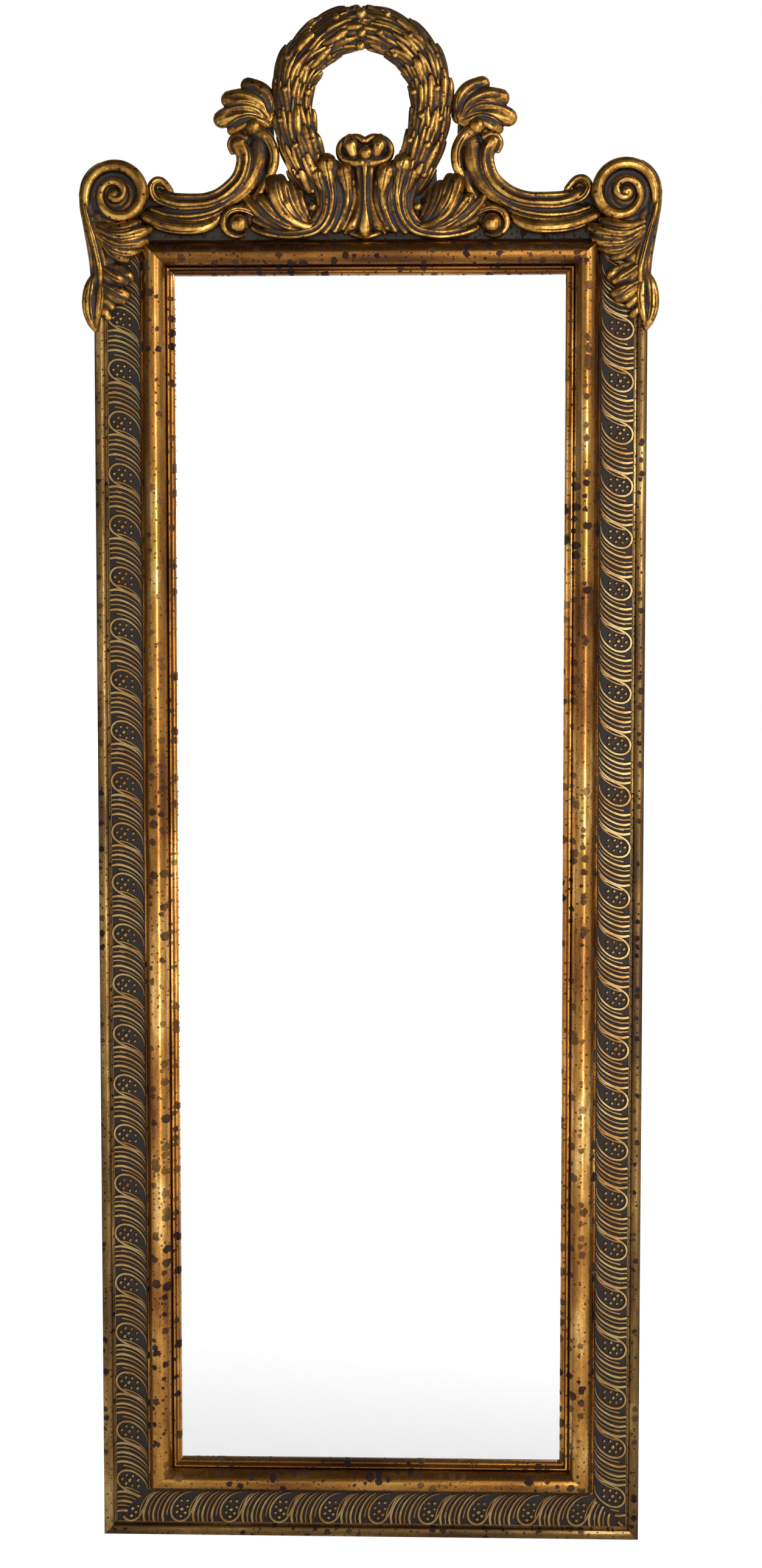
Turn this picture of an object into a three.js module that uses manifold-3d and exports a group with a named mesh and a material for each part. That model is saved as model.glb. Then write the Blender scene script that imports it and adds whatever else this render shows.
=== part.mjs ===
// Tall gilded pier mirror with a carved wreath crest and scrolled ears.
// Millimetres, +Z up. The front faces -Y and the back lies on the plane y = 0.
// The origin is the middle of the top rail's back face.
import * as THREE from 'three';
import { mergeVertices } from 'three/addons/utils/BufferGeometryUtils.js';
import Module from 'manifold-3d';

const wasm = await Module();
wasm.setup();

// ---------- driving sizes ----------
// frame, as seen from the front
const frameWidth = 704;
const frameHeight = 1747;
// across one rail, from the outer edge to the glass
const filletWidth = 13;
const quirkWidth = 2;
const bandWidth = 43;
const coveWidth = 4;
const torusWidth = 31;
const slipWidth = 10.5;
// depths, from the wall plane forwards
const seatDepth = 26;
const filletRise = 8;
const filletCrown = 3;
const bandThickness = 5.5;
const torusRise = 26;
const slipRise = 12;
const slipLipRise = 4;
const edgeRound = 1.5;
// glass and back
const glassLap = 6.5;
const glassThickness = 4;
const glassPlay = 1;
const boardThickness = 6;
const boardGap = 0.5;
const braceHeight = 60;
const tenonLength = 16;
const tenonShoulder = 4;
const blockLength = 60;
const blockWidth = 12;
const blockSetback = 3;
const blockSpacing = 820;
// mitre keys
const keyLength = 64;
const keyWidth = 30;
const keyThickness = 4;
const keyDepth = 12;
// crest fixing
const crestBoardThickness = 18;
const crestBoardMargin = 1;
const crestBoardReach = 180;
const battenWidth = 28;
const battenOut = 72;
const battenDrop = 76;
const battenRise = 46;
// screws
const screwHeadRadius = 4;
const screwHeadHeight = 2;
const screwShankRadius = 2;
const battenScrewLength = 18;
const hangerScrewLength = 14;
const screwSlotWidth = 1;
// hangers
const hangerDrop = 300;
const strapWidth = 14;
const strapLength = 62;
const strapThickness = 1.5;
const wireRadius = 2;
const ringHalfWidth = 11;
const ringLeg = 4;
const barrelWall = 1.3;
const pocketDepth = 10;
const pocketWidth = 36;
const pocketAbove = 26;
const pocketBelow = 70;
// crest and ears
const crestShift = -6;
const wreathShift = -4;
const scrollRoot = 175;
const earRadius = 46;
const earOverhang = 18;
const earPitch = 17;
const earRoll = 8;
const earPlate = 8;
// clearances
const gap = 0.3;
const wireClearance = 0.3;
const mitreGap = 0.3;

// ---------- worked-out sizes ----------
const halfWidth = frameWidth / 2;
const bandStart = filletWidth + quirkWidth;
const torusStart = bandStart + bandWidth + coveWidth;
const slipStart = torusStart + torusWidth;
const railWidth = slipStart + slipWidth;
const baseWidth = railWidth - glassLap - glassPlay;
const topZ = railWidth / 2;
const bottomZ = topZ - frameHeight;
const middleZ = (topZ + bottomZ) / 2;
const carvedBack = seatDepth + gap;
const earBack = seatDepth + filletRise + gap;
const earOut = halfWidth + earOverhang - earRadius;
const boardBack = seatDepth - glassThickness - boardGap - boardThickness;
const crestBack = seatDepth - crestBoardThickness;
const hangerOut = halfWidth - baseWidth / 2;
const barrelRadius = wireRadius + wireClearance + barrelWall;
const strapBack = pocketDepth - gap - strapThickness;
const ringAxisDepth = strapBack + gap - barrelRadius;

// ---------- colours ----------
const gilt = { color: 0xb98530, roughness: 0.38, metalness: 0.85 };
const giltDark = { color: 0x9c6a24, roughness: 0.42, metalness: 0.8 };
const pewter = { color: 0x6e6148, roughness: 0.5, metalness: 0.6 };
const umberWood = { color: 0x4a3826, roughness: 0.8, metalness: 0 };
const paleWood = { color: 0xa78355, roughness: 0.75, metalness: 0 };
const silver = { color: 0xf2f4f5, roughness: 0.03, metalness: 1 };
const steel = { color: 0x8d8a84, roughness: 0.4, metalness: 0.9 };
const brass = { color: 0xb08a45, roughness: 0.35, metalness: 0.9 };

// ---------- solids ----------
function solidOf(geometry) {
  const bare = geometry.clone();
  bare.deleteAttribute('normal');
  if (bare.getAttribute('uv')) bare.deleteAttribute('uv');
  const merged = mergeVertices(bare, 1e-4);
  const vertProperties = new Float32Array(merged.getAttribute('position').array);
  const triVerts = new Uint32Array(merged.getIndex().array);
  return new wasm.Manifold(new wasm.Mesh({ numProp: 3, vertProperties, triVerts }));
}

function geometryOf(solid) {
  const mesh = solid.getMesh();
  const geometry = new THREE.BufferGeometry();
  geometry.setAttribute('position', new THREE.BufferAttribute(mesh.vertProperties, 3));
  geometry.setIndex(new THREE.BufferAttribute(mesh.triVerts, 1));
  geometry.computeVertexNormals();
  return geometry;
}

// the largest body of a solid, without the offcuts that a cut leaves
function mainBody(solid) {
  const bodies = solid.decompose();
  return bodies.reduce((best, body) => (body.volume() > best.volume() ? body : best));
}

function boxSolid(low, high) {
  const size = new THREE.Vector3().subVectors(high, low);
  const centre = new THREE.Vector3().addVectors(low, high).multiplyScalar(0.5);
  const geometry = new THREE.BoxGeometry(size.x, size.y, size.z);
  geometry.translate(centre.x, centre.y, centre.z);
  return solidOf(geometry);
}

// a block between two widths, two depths from the wall and two heights
function block(xs, depths, zs, grow = 0) {
  const low = new THREE.Vector3(xs[0] - grow, -depths[1] - grow, zs[0] - grow);
  const high = new THREE.Vector3(xs[1] + grow, -depths[0] + grow, zs[1] + grow);
  return boxSolid(low, high);
}

function mirrorX(geometry) {
  const copy = geometry.clone();
  const position = copy.getAttribute('position');
  for (let i = 0; i < position.count; i += 1) {
    position.setX(i, -position.getX(i));
  }
  const order = copy.getIndex();
  for (let i = 0; i < order.count; i += 3) {
    const second = order.getX(i + 1);
    order.setX(i + 1, order.getX(i + 2));
    order.setX(i + 2, second);
  }
  copy.computeVertexNormals();
  return copy;
}

// skin over rings of points, all with the same count; closed joins last to first
function loft(rings, closed = false) {
  const count = rings[0].length;
  const positions = [];
  const faces = [];
  rings.forEach((ring) => ring.forEach((p) => positions.push(p.x, p.y, p.z)));
  const spans = closed ? rings.length : rings.length - 1;
  for (let i = 0; i < spans; i += 1) {
    const here = i * count;
    const next = ((i + 1) % rings.length) * count;
    for (let k = 0; k < count; k += 1) {
      const n = (k + 1) % count;
      faces.push(here + k, here + n, next + n);
      faces.push(here + k, next + n, next + k);
    }
  }
  if (!closed) {
    const ends = [[0, 1], [(rings.length - 1) * count, -1]];
    ends.forEach(([first, turn]) => {
      for (let k = 1; k < count - 1; k += 1) {
        if (turn > 0) faces.push(first, first + k + 1, first + k);
        else faces.push(first, first + k, first + k + 1);
      }
    });
  }
  const geometry = new THREE.BufferGeometry();
  geometry.setAttribute('position', new THREE.Float32BufferAttribute(positions, 3));
  geometry.setIndex(faces);
  return geometry;
}

// A carved strand: a tapered round with soft ends. Points are [out, up, radius, lift],
// where lift is how far its middle stands in front of the ground it is carved on.
const strandSides = 6;
const strandSwell = 0.85;
const capReach = 0.7;
function strand(points, grow = 0, sides = strandSides, stepsPerSpan = 1.5) {
  const path = new THREE.CatmullRomCurve3(
    points.map(([out, up, , lift]) => new THREE.Vector3(out, -lift, up)), false, 'centripetal');
  const girth = new THREE.CatmullRomCurve3(
    points.map(([, , radius]) => new THREE.Vector3(radius, 0, 0)), false, 'catmullrom', 0.5);
  const steps = Math.round((points.length - 1) * stepsPerSpan);
  const forward = new THREE.Vector3(0, -1, 0);
  const ringAt = (centre, tangent, radius) => {
    const across = new THREE.Vector3().crossVectors(forward, tangent).normalize();
    return Array.from({ length: sides }, (_, k) => {
      const angle = (2 * Math.PI * (k + 0.5)) / sides + Math.PI / 2;
      return centre.clone()
        .addScaledVector(across, radius * Math.cos(angle))
        .addScaledVector(forward, (grow + (radius - grow) * strandSwell) * Math.sin(angle));
    });
  };
  const capAt = (t, direction) => {
    const tangent = path.getTangent(t);
    const radius = girth.getPoint(t).x + grow;
    const centre = path.getPoint(t).addScaledVector(tangent, direction * radius * capReach);
    return ringAt(centre, tangent, radius * Math.sqrt(1 - capReach * capReach));
  };
  const rings = [capAt(0, -1)];
  for (let i = 0; i <= steps; i += 1) {
    const t = i / steps;
    rings.push(ringAt(path.getPoint(t), path.getTangent(t), girth.getPoint(t).x + grow));
  }
  rings.push(capAt(1, 1));
  return solidOf(loft(rings));
}

// a ball, for bosses, knobs and lobes
const ballSegments = 10;
const ballRings = 7;
function ball([out, up, radius, lift], grow = 0) {
  const geometry = new THREE.SphereGeometry(radius + grow, ballSegments, ballRings);
  geometry.translate(out, -lift, up);
  return solidOf(geometry);
}

function joined(solids) {
  return solids.reduce((sum, solid) => sum.add(solid));
}

// only what stands in front of the ground plane y = 0 of a carving
const carvingReach = frameWidth;
function onGround(solid) {
  const front = boxSolid(
    new THREE.Vector3(-carvingReach, -carvingReach, -carvingReach),
    new THREE.Vector3(carvingReach, 0, carvingReach));
  return solid.intersect(front);
}

function carve(strands, grow = 0) {
  return joined(strands.map((points) => strand(points, grow)));
}

const mirror = new THREE.Group();

function addPiece(parent, name, solid, finish) {
  const geometry = solid.isBufferGeometry ? solid : geometryOf(solid);
  const mesh = new THREE.Mesh(geometry, new THREE.MeshStandardMaterial(finish));
  mesh.name = name;
  parent.add(mesh);
  return mesh;
}

// ---------- mitred rails ----------
// A profile is a list of [from outer edge, from wall]. Each end is cut at 45 degrees.
const sides = {
  right: { across: [-1, 0, 0], along: [0, 0, 1], at: [halfWidth, 0, middleZ], run: frameHeight },
  left: { across: [1, 0, 0], along: [0, 0, -1], at: [-halfWidth, 0, middleZ], run: frameHeight },
  top: { across: [0, 0, -1], along: [-1, 0, 0], at: [0, 0, topZ], run: frameWidth },
  bottom: { across: [0, 0, 1], along: [1, 0, 0], at: [0, 0, bottomZ], run: frameWidth },
};

function mitredRail(profile, side) {
  const shape = new THREE.Shape(profile.map(([u, d]) => new THREE.Vector2(u, d)));
  const geometry = new THREE.ExtrudeGeometry(shape, { depth: 1, bevelEnabled: false });
  const position = geometry.getAttribute('position');
  const { across, along, at, run } = sides[side];
  const back = mitreGap / Math.SQRT2;
  for (let i = 0; i < position.count; i += 1) {
    const end = position.getZ(i) > 0.5 ? 1 : -1;
    position.setZ(i, end * (run / 2 - position.getX(i) - back));
  }
  const turn = new THREE.Matrix4().makeBasis(
    new THREE.Vector3(...across), new THREE.Vector3(0, -1, 0), new THREE.Vector3(...along));
  geometry.applyMatrix4(turn);
  geometry.translate(...at);
  return solidOf(geometry);
}

const filletArcs = 10;
function baseProfile(hasFillet) {
  const inner = [[0, 0], [baseWidth, 0], [baseWidth, seatDepth]];
  if (!hasFillet) return [...inner, [0, seatDepth]];
  const crown = Array.from({ length: filletArcs + 1 }, (_, i) => {
    const angle = (Math.PI * i) / filletArcs;
    const u = (filletWidth / 2) * (1 + Math.cos(angle));
    return [u, seatDepth + filletRise - filletCrown * (1 - Math.sin(angle))];
  });
  return [...inner, [filletWidth, seatDepth], ...crown];
}

const bandCrown = 1.5;
const bandEdge = 9;
const bandProfile = [
  [bandStart + gap, carvedBack],
  [bandStart + bandWidth, carvedBack],
  [bandStart + bandWidth, seatDepth + bandThickness - bandCrown],
  [bandStart + bandWidth - bandEdge, seatDepth + bandThickness],
  [bandStart + bandEdge, seatDepth + bandThickness],
  [bandStart + gap, seatDepth + bandThickness - bandCrown],
];

const torusFoot = 7;
const torusArcs = 12;
function torusProfile() {
  const centre = torusStart + torusWidth / 2;
  const half = torusWidth / 2 - gap;
  const points = [[centre - half, carvedBack], [centre + half, carvedBack]];
  for (let i = 0; i <= torusArcs; i += 1) {
    const angle = (Math.PI * i) / torusArcs;
    const d = seatDepth + torusFoot + (torusRise - torusFoot) * Math.sin(angle);
    points.push([centre + half * Math.cos(angle), d]);
  }
  return points;
}

const slipStep = 4;
const slipHollow = 2.5;
const slipProfile = [
  [slipStart + gap, carvedBack],
  [railWidth, carvedBack],
  [railWidth, seatDepth + slipLipRise],
  [railWidth - slipHollow, seatDepth + slipLipRise + slipHollow],
  [slipStart + slipStep, seatDepth + slipRise - slipStep],
  [slipStart + slipStep, seatDepth + slipRise - edgeRound],
  [slipStart + slipStep - edgeRound, seatDepth + slipRise],
  [slipStart + gap, seatDepth + slipRise],
];

// ---------- mitre keys ----------
function keyAt(sideX, cornerZ, grow = 0) {
  const geometry = new THREE.BoxGeometry(
    keyLength + 2 * grow, keyThickness + 2 * grow, keyWidth + 2 * grow);
  const up = cornerZ > middleZ ? 1 : -1;
  geometry.rotateY(sideX * up * (Math.PI / 4));
  const inset = baseWidth / 2;
  geometry.translate(sideX * (halfWidth - inset), -keyDepth, cornerZ - up * inset);
  return solidOf(geometry);
}

const corners = [
  ['left_top', -1, topZ], ['right_top', 1, topZ],
  ['left_bottom', -1, bottomZ], ['right_bottom', 1, bottomZ],
];

// ---------- screws ----------
// the head's outer face is at depth 0 from the wall and the point goes forwards
const screwSides = 8;
function screwSolid(length, grow = 0) {
  const head = screwHeadRadius + grow;
  const shank = screwShankRadius + grow;
  const profile = [
    [0, -grow], [head, -grow], [head, screwHeadHeight / 2],
    [shank, screwHeadHeight + screwHeadRadius - screwShankRadius],
    [shank, length - screwShankRadius + grow], [0, length + grow],
  ];
  const lathe = new THREE.LatheGeometry(
    profile.map(([r, d]) => new THREE.Vector2(r, -d)).reverse(), screwSides);
  return solidOf(lathe);
}

function slottedScrew(length) {
  const reach = screwHeadRadius + gap;
  const slot = boxSolid(
    new THREE.Vector3(-reach, -screwHeadHeight / 2, -screwSlotWidth / 2),
    new THREE.Vector3(reach, gap, screwSlotWidth / 2));
  return screwSolid(length).subtract(slot);
}

const battenScrewDepth = 0.6;
const battenScrewSpots = [
  ['lower', topZ - battenDrop / 2],
  ['upper', topZ + battenRise / 2],
];
const hangerScrewDepth = strapBack - screwHeadHeight / 2 - gap;
const hangerScrewDrops = [['upper', 30], ['lower', 50]];

// ---------- hangers ----------
const hangerZ = topZ - hangerDrop;

function pocketAt(side) {
  const x = side * hangerOut;
  return block([x - pocketWidth / 2, x + pocketWidth / 2], [-gap, pocketDepth],
    [hangerZ - pocketBelow, hangerZ + pocketAbove]);
}

// strap with its rolled barrel round the ring's bar, middle of the bar at the group's origin
const barrelSides = 16;
function strapSolid() {
  const half = strapWidth / 2;
  const deep = strapBack - ringAxisDepth;
  const plate = boxSolid(
    new THREE.Vector3(-half, -deep - strapThickness, -strapLength),
    new THREE.Vector3(half, -deep, 0));
  const barrel = (radius, length) => solidOf(
    new THREE.CylinderGeometry(radius, radius, length, barrelSides).rotateZ(Math.PI / 2));
  let strap = plate.add(barrel(barrelRadius, strapWidth));
  strap = strap.subtract(barrel(wireRadius + wireClearance, strapWidth + 2 * gap));
  hangerScrewDrops.forEach(([, drop]) => {
    const hole = screwSolid(hangerScrewLength, gap);
    strap = strap.subtract(hole.translate([0, ringAxisDepth - hangerScrewDepth, -drop]));
  });
  return strap;
}

// D-shaped ring: a straight bar, two short legs and a half round
const wireSides = 8;
const ringBend = 2.5;
const ringArcPoints = 10;
function ringGeometry() {
  const barEnd = ringHalfWidth - ringBend;
  const cornerInset = ringBend * (1 - Math.SQRT1_2);
  const cornerOut = ringHalfWidth - cornerInset;
  const path = [[-barEnd, 0], [0, 0], [barEnd, 0], [cornerOut, -cornerInset]];
  for (let i = 0; i <= ringArcPoints; i += 1) {
    const angle = (-Math.PI * i) / ringArcPoints;
    path.push([ringHalfWidth * Math.cos(angle), -ringLeg + ringHalfWidth * Math.sin(angle)]);
  }
  path.push([-cornerOut, -cornerInset]);
  const count = path.length;
  const rings = path.map(([x, z], i) => {
    const [px, pz] = path[(i + count - 1) % count];
    const [nx, nz] = path[(i + 1) % count];
    const tangent = new THREE.Vector3(nx - px, 0, nz - pz).normalize();
    const across = new THREE.Vector3().crossVectors(new THREE.Vector3(0, -1, 0), tangent);
    return Array.from({ length: wireSides }, (_, k) => {
      const angle = (2 * Math.PI * k) / wireSides;
      return new THREE.Vector3(x, 0, z)
        .addScaledVector(across, wireRadius * Math.cos(angle))
        .addScaledVector(new THREE.Vector3(0, -1, 0), wireRadius * Math.sin(angle));
    });
  });
  return loft(rings, true);
}

// ---------- frame ----------
const frameGroup = new THREE.Group();
mirror.add(frameGroup);

const crestBattenXs = (side) => {
  const x = crestShift + side * battenOut;
  return [x - battenWidth / 2, x + battenWidth / 2];
};

function batten(side, grow = 0) {
  return block(crestBattenXs(side), [0, crestBack - gap],
    [topZ - battenDrop, topZ + battenRise], grow);
}

function battenScrewHoles(side) {
  return joined(battenScrewSpots.map(([, z]) => screwSolid(battenScrewLength, gap)
    .translate([crestShift + side * battenOut, -battenScrewDepth, z])));
}

const braceTenon = (side, grow = 0) => {
  const wall = halfWidth - baseWidth;
  const xs = [wall - gap, wall + tenonLength].map((x) => x * side).sort((a, b) => a - b);
  return block(xs, [tenonShoulder, boardBack - tenonShoulder],
    [middleZ - braceHeight / 2 + tenonShoulder, middleZ + braceHeight / 2 - tenonShoulder], grow);
};

function hangerScrewHoles(side) {
  return joined(hangerScrewDrops.map(([, drop]) => screwSolid(hangerScrewLength, gap)
    .translate([side * hangerOut, -hangerScrewDepth, hangerZ - drop])));
}

[['left', -1], ['right', 1]].forEach(([name, side]) => {
  let stile = mitredRail(baseProfile(true), name);
  stile = stile.subtract(pocketAt(side)).subtract(hangerScrewHoles(side));
  stile = stile.subtract(braceTenon(side, gap));
  stile = stile.subtract(keyAt(side, topZ, gap)).subtract(keyAt(side, bottomZ, gap));
  addPiece(frameGroup, `stile_${name}`, stile, umberWood);
});

let railTop = mitredRail(baseProfile(false), 'top');
let railBottom = mitredRail(baseProfile(true), 'bottom');
[-1, 1].forEach((side) => {
  railTop = railTop.subtract(keyAt(side, topZ, gap));
  railTop = railTop.subtract(batten(side, gap)).subtract(battenScrewHoles(side));
  railBottom = railBottom.subtract(keyAt(side, bottomZ, gap));
});
addPiece(frameGroup, 'rail_top', railTop, umberWood);
addPiece(frameGroup, 'rail_bottom', railBottom, umberWood);

corners.forEach(([name, side, z]) => {
  addPiece(frameGroup, `mitre_key_${name}`, keyAt(side, z), paleWood);
});

// applied ornament bands, which stop under the ears
const bandTopZ = topZ - torusStart;
['left', 'right', 'bottom'].forEach((name) => {
  let band = mitredRail(bandProfile, name);
  if (name !== 'bottom') {
    band = band.subtract(block([-frameWidth, frameWidth], [0, seatDepth * 2],
      [bandTopZ, topZ + gap]));
  }
  addPiece(frameGroup, `band_${name}`, band, pewter);
});

Object.keys(sides).forEach((name) => {
  addPiece(frameGroup, `torus_${name}`, mitredRail(torusProfile(), name), giltDark);
  addPiece(frameGroup, `slip_${name}`, mitredRail(slipProfile, name), giltDark);
});

// ---------- glass and back ----------
const glazingGroup = new THREE.Group();
mirror.add(glazingGroup);
const glassHalf = halfWidth - baseWidth - glassPlay;
const glassTop = topZ - baseWidth - glassPlay;
const glassBottom = bottomZ + baseWidth + glassPlay;
addPiece(glazingGroup, 'mirror_glass',
  block([-glassHalf, glassHalf], [seatDepth - glassThickness, seatDepth],
    [glassBottom, glassTop]), silver);

const boardDepths = [boardBack, boardBack + boardThickness];
addPiece(glazingGroup, 'backboard_upper',
  block([-glassHalf, glassHalf], boardDepths, [middleZ + gap, glassTop]), paleWood);
addPiece(glazingGroup, 'backboard_lower',
  block([-glassHalf, glassHalf], boardDepths, [glassBottom, middleZ - gap]), paleWood);

const braceReach = halfWidth - baseWidth - gap;
const brace = block([-braceReach, braceReach], [0, boardBack - gap],
  [middleZ - braceHeight / 2, middleZ + braceHeight / 2]);
addPiece(glazingGroup, 'back_brace', brace.add(braceTenon(-1)).add(braceTenon(1)), paleWood);

[['left', -1], ['right', 1]].forEach(([name, side]) => {
  [['upper', 1], ['lower', -1]].forEach(([level, up]) => {
    const z = middleZ + (up * blockSpacing) / 2;
    const xs = [braceReach, braceReach - blockWidth].map((x) => x * side);
    addPiece(glazingGroup, `glue_block_${name}_${level}`,
      block(xs.sort((a, b) => a - b), [blockSetback, boardBack - gap],
        [z - blockLength / 2, z + blockLength / 2]), paleWood);
  });
});

// ---------- crest ----------
// Strands are for the right half. Outward of scrollRoot they stretch to meet the ear,
// and below the frame's top edge they reach down to the torus.
const drawnReach = 276;
const drawnDrop = 64;
const scrollTuck = 7;
function fit(points, side) {
  const scrollEnd = earOut - earRadius - side * crestShift + scrollTuck;
  return points.map(([out, up, radius, lift]) => {
    const stretch = (scrollEnd - scrollRoot) / (drawnReach - scrollRoot);
    const x = out > scrollRoot ? scrollRoot + (out - scrollRoot) * stretch : out;
    const z = up < 0 ? (up * torusStart) / drawnDrop : up;
    return [x, z, radius, lift];
  });
}

const strands = {
  acanthusInner: [
    [[48, 36, 13, 16], [45, 16, 11, 15], [46, -10, 9, 12], [51, -34, 8, 9], [66, -49, 7, 7],
      [88, -52, 7, 6], [112, -51, 7, 5], [130, -47, 6, 4]],
    [[34, 28, 10, 18], [34, 6, 9, 16], [37, -18, 8, 12], [45, -42, 7, 7]],
    [[22, 18, 9, 14], [24, -6, 8, 12], [29, -28, 7, 9], [37, -46, 6, 5]],
    [[62, 6, 7, 7], [54, -10, 8, 8], [52, -26, 6, 6]],
    [[112, -44, 5, 4], [132, -37, 5, 3]],
  ],
  acanthusOuter: [
    [[72, -42, 8, 8], [92, -36, 11, 11], [105, -20, 12, 14], [113, 6, 9, 11]],
    [[76, -34, 8, 6], [89, -16, 10, 9], [93, 3, 7, 7]],
    [[70, -30, 6, 4], [80, -12, 7, 5]],
    [[90, -42, 7, 6], [111, -32, 9, 9], [126, -9, 7, 6]],
    [[106, -42, 7, 4], [128, -31, 8, 7], [147, -11, 6, 5]],
  ],
  boss: [
    [[178, -38, 5, 4], [173, -25, 5, 6], [160, -21, 5, 7], [140, -27, 6, 5]],
  ],
  cScroll: [
    [[163, 58, 7, 12], [160, 69, 7, 12], [151, 66, 8, 12], [149, 48, 10, 12], [156, 24, 11, 11],
      [176, 3, 11, 9], [204, -10, 11, 7], [232, -12, 11, 7], [254, -5, 9, 7], [264, 8, 7, 6],
      [255, 13, 6, 5]],
    [[142, 76, 10, 10], [130, 76, 10, 10], [122, 56, 10, 10], [121, 32, 9, 8], [128, 10, 8, 5]],
    [[272, -25, 6, 4], [238, -31, 6, 4], [204, -29, 7, 4], [172, -16, 8, 4],
      [150, 4, 9, 4], [139, 28, 10, 4], [137, 60, 9, 4]],
  ],
  longScroll: [
    [[274, -36, 9, 6], [256, -45, 10, 7], [230, -49, 11, 7], [198, -45, 9, 5]],
  ],
  plume: [
    [[126, 88, 9, 7], [123, 108, 11, 9], [128, 128, 9, 7]],
    [[131, 88, 9, 9], [140, 108, 13, 12], [151, 126, 13, 12]],
    [[137, 86, 9, 9], [156, 102, 14, 13], [176, 111, 13, 13]],
    [[142, 82, 9, 8], [164, 92, 12, 11], [184, 93, 11, 10]],
    [[140, 80, 8, 6], [158, 82, 9, 8], [169, 80, 8, 6]],
  ],
};

const bossBall = [162, -42, 14, 6];

// the wreath's arch as [out, up, radius, lift] down its right side; its ends sink
// into the ground behind the acanthus
const wreathSide = [
  [0, 204, 28, 9], [36, 196, 29, 9], [64, 172, 29, 9], [81, 144, 27, 9], [85, 114, 26, 9],
  [84, 84, 28, 9], [78, 54, 29, 8], [68, 24, 26, 2], [58, 2, 20, -8],
];
const wreathSides = 10;
function wreathSolid() {
  const left = wreathSide.slice(1).reverse().map(([out, ...rest]) => [-out, ...rest]);
  const arch = [...left, ...wreathSide].map(([out, ...rest]) => [out + wreathShift, ...rest]);
  return strand(arch, 0, wreathSides);
}

// clasp: a heart-shaped knob on a stem with a bell foot
const claspTop = 44;
const claspStem = 9;
const claspDepth = 0.8;
const claspSides = 12;
const footDrop = 60;
const footSoleRadius = 14;
const footSoleRise = 4;
const footRadius = 25;
const footRimRise = 15;
const footNeckRadius = 17;
const footNeckRise = 27;
const footTopRise = 55;
const claspLobes = [[-19, 53, 19, 9], [19, 53, 19, 9], [0, 47, 17, 14]];
function claspSolid(grow = 0) {
  const foot = (-footDrop * torusStart) / drawnDrop + gap;
  const profile = [
    [0, foot - grow], [footSoleRadius, foot + footSoleRise - grow],
    [footRadius + grow, foot + footRimRise], [footNeckRadius + grow, foot + footNeckRise],
    [claspStem + grow, foot + footTopRise],
    [claspStem + grow, claspTop + grow], [0, claspTop + grow],
  ];
  const lathe = new THREE.LatheGeometry(
    profile.map(([r, z]) => new THREE.Vector2(r, z)), claspSides);
  lathe.rotateX(Math.PI / 2);
  lathe.scale(1, claspDepth, 1);
  return joined([solidOf(lathe), ...claspLobes.map((lobe) => ball(lobe, grow))]);
}

// ears, about the volute's centre: [out, up] as on the right-hand side
const coilTurns = 1.6;
const coilSteps = 20;
const coilStart = -0.15;
const coilLift = 12;
const coilClimb = 6;
const coilTaper = 0.25;
const earPlateSides = 20;
const earEye = [0, 0, 9, 16];
const tail = [
  [30, -170, 5, 5], [37, -154, 8, 8], [33, -132, 9, 9], [28, -106, 8, 9], [29, -82, 8, 9],
  [35, -56, 8, 10], [38, -30, 8, 11],
];
const earLobes = [
  [[18, -42, 11, 6], [14, -72, 11, 7], [16, -104, 10, 6], [22, -140, 8, 5]],
  [[22, -46, 9, 8], [2, -58, 12, 11], [-32, -48, 8, 8]],
  [[20, -56, 9, 8], [0, -70, 11, 9], [-24, -68, 8, 6]],
  [[20, -66, 8, 7], [-8, -85, 9, 7]],
  [[20, -82, 9, 7], [-9, -105, 9, 7]],
  [[24, -112, 8, 7], [1, -128, 8, 6]],
  [[24, -128, 8, 7], [12, -147, 6, 5]],
];

function voluteSolid(grow = 0) {
  const coil = Array.from({ length: coilSteps + 1 }, (_, i) => {
    const share = i / coilSteps;
    const angle = coilStart + 2 * Math.PI * coilTurns * share;
    const radius = earRadius - earRoll - earPitch * coilTurns * share;
    const girth = earRoll * (1 - coilTaper * share);
    const lift = coilLift + coilClimb * share;
    return [radius * Math.cos(angle), radius * Math.sin(angle), girth, lift];
  });
  const plateRadius = earRadius - earRoll + grow;
  const plate = new THREE.CylinderGeometry(
    plateRadius, plateRadius, earPlate + grow, earPlateSides);
  plate.translate(0, -(earPlate + grow) / 2, 0);
  return joined([
    strand([...tail, ...coil], grow, strandSides, 1), solidOf(plate), ball(earEye, grow),
  ]);
}

const earLeafSolid = (grow = 0) => carve(earLobes, grow);

// crest carvings, each cut back where a piece in front of it passes
const crestGroup = new THREE.Group();
crestGroup.position.set(crestShift, -carvedBack, topZ);
mirror.add(crestGroup);

const clasp = claspSolid();
const claspCut = claspSolid(gap);
addPiece(crestGroup, 'clasp', mainBody(onGround(clasp)), gilt);

const earRise = -5;
function sideCarvings(side) {
  const solids = (grow) => Object.fromEntries(Object.entries(strands).map(
    ([name, list]) => [name, carve(list.map((points) => fit(points, side)), grow)]));
  const plain = solids(0);
  const cut = solids(gap);
  const boss = fit([bossBall], side)[0];
  plain.boss = plain.boss.add(ball(boss));
  cut.boss = cut.boss.add(ball(boss, gap));
  const ear = voluteSolid(gap).add(earLeafSolid(gap)).translate(
    [earOut - side * crestShift, carvedBack - earBack, earRise]);
  return {
    pieces: {
      acanthus_inner: plain.acanthusInner.subtract(claspCut),
      boss: plain.boss.subtract(cut.acanthusInner),
      acanthus_outer: plain.acanthusOuter.subtract(cut.acanthusInner).subtract(cut.boss),
      c_scroll: plain.cScroll.subtract(cut.acanthusOuter).subtract(cut.acanthusInner)
        .subtract(cut.boss).subtract(ear),
      long_scroll: plain.longScroll.subtract(cut.cScroll).subtract(cut.boss).subtract(ear),
      plume: plain.plume.subtract(cut.cScroll),
    },
    cut: joined([cut.acanthusInner, cut.acanthusOuter, cut.cScroll, cut.plume]),
  };
}

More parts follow.
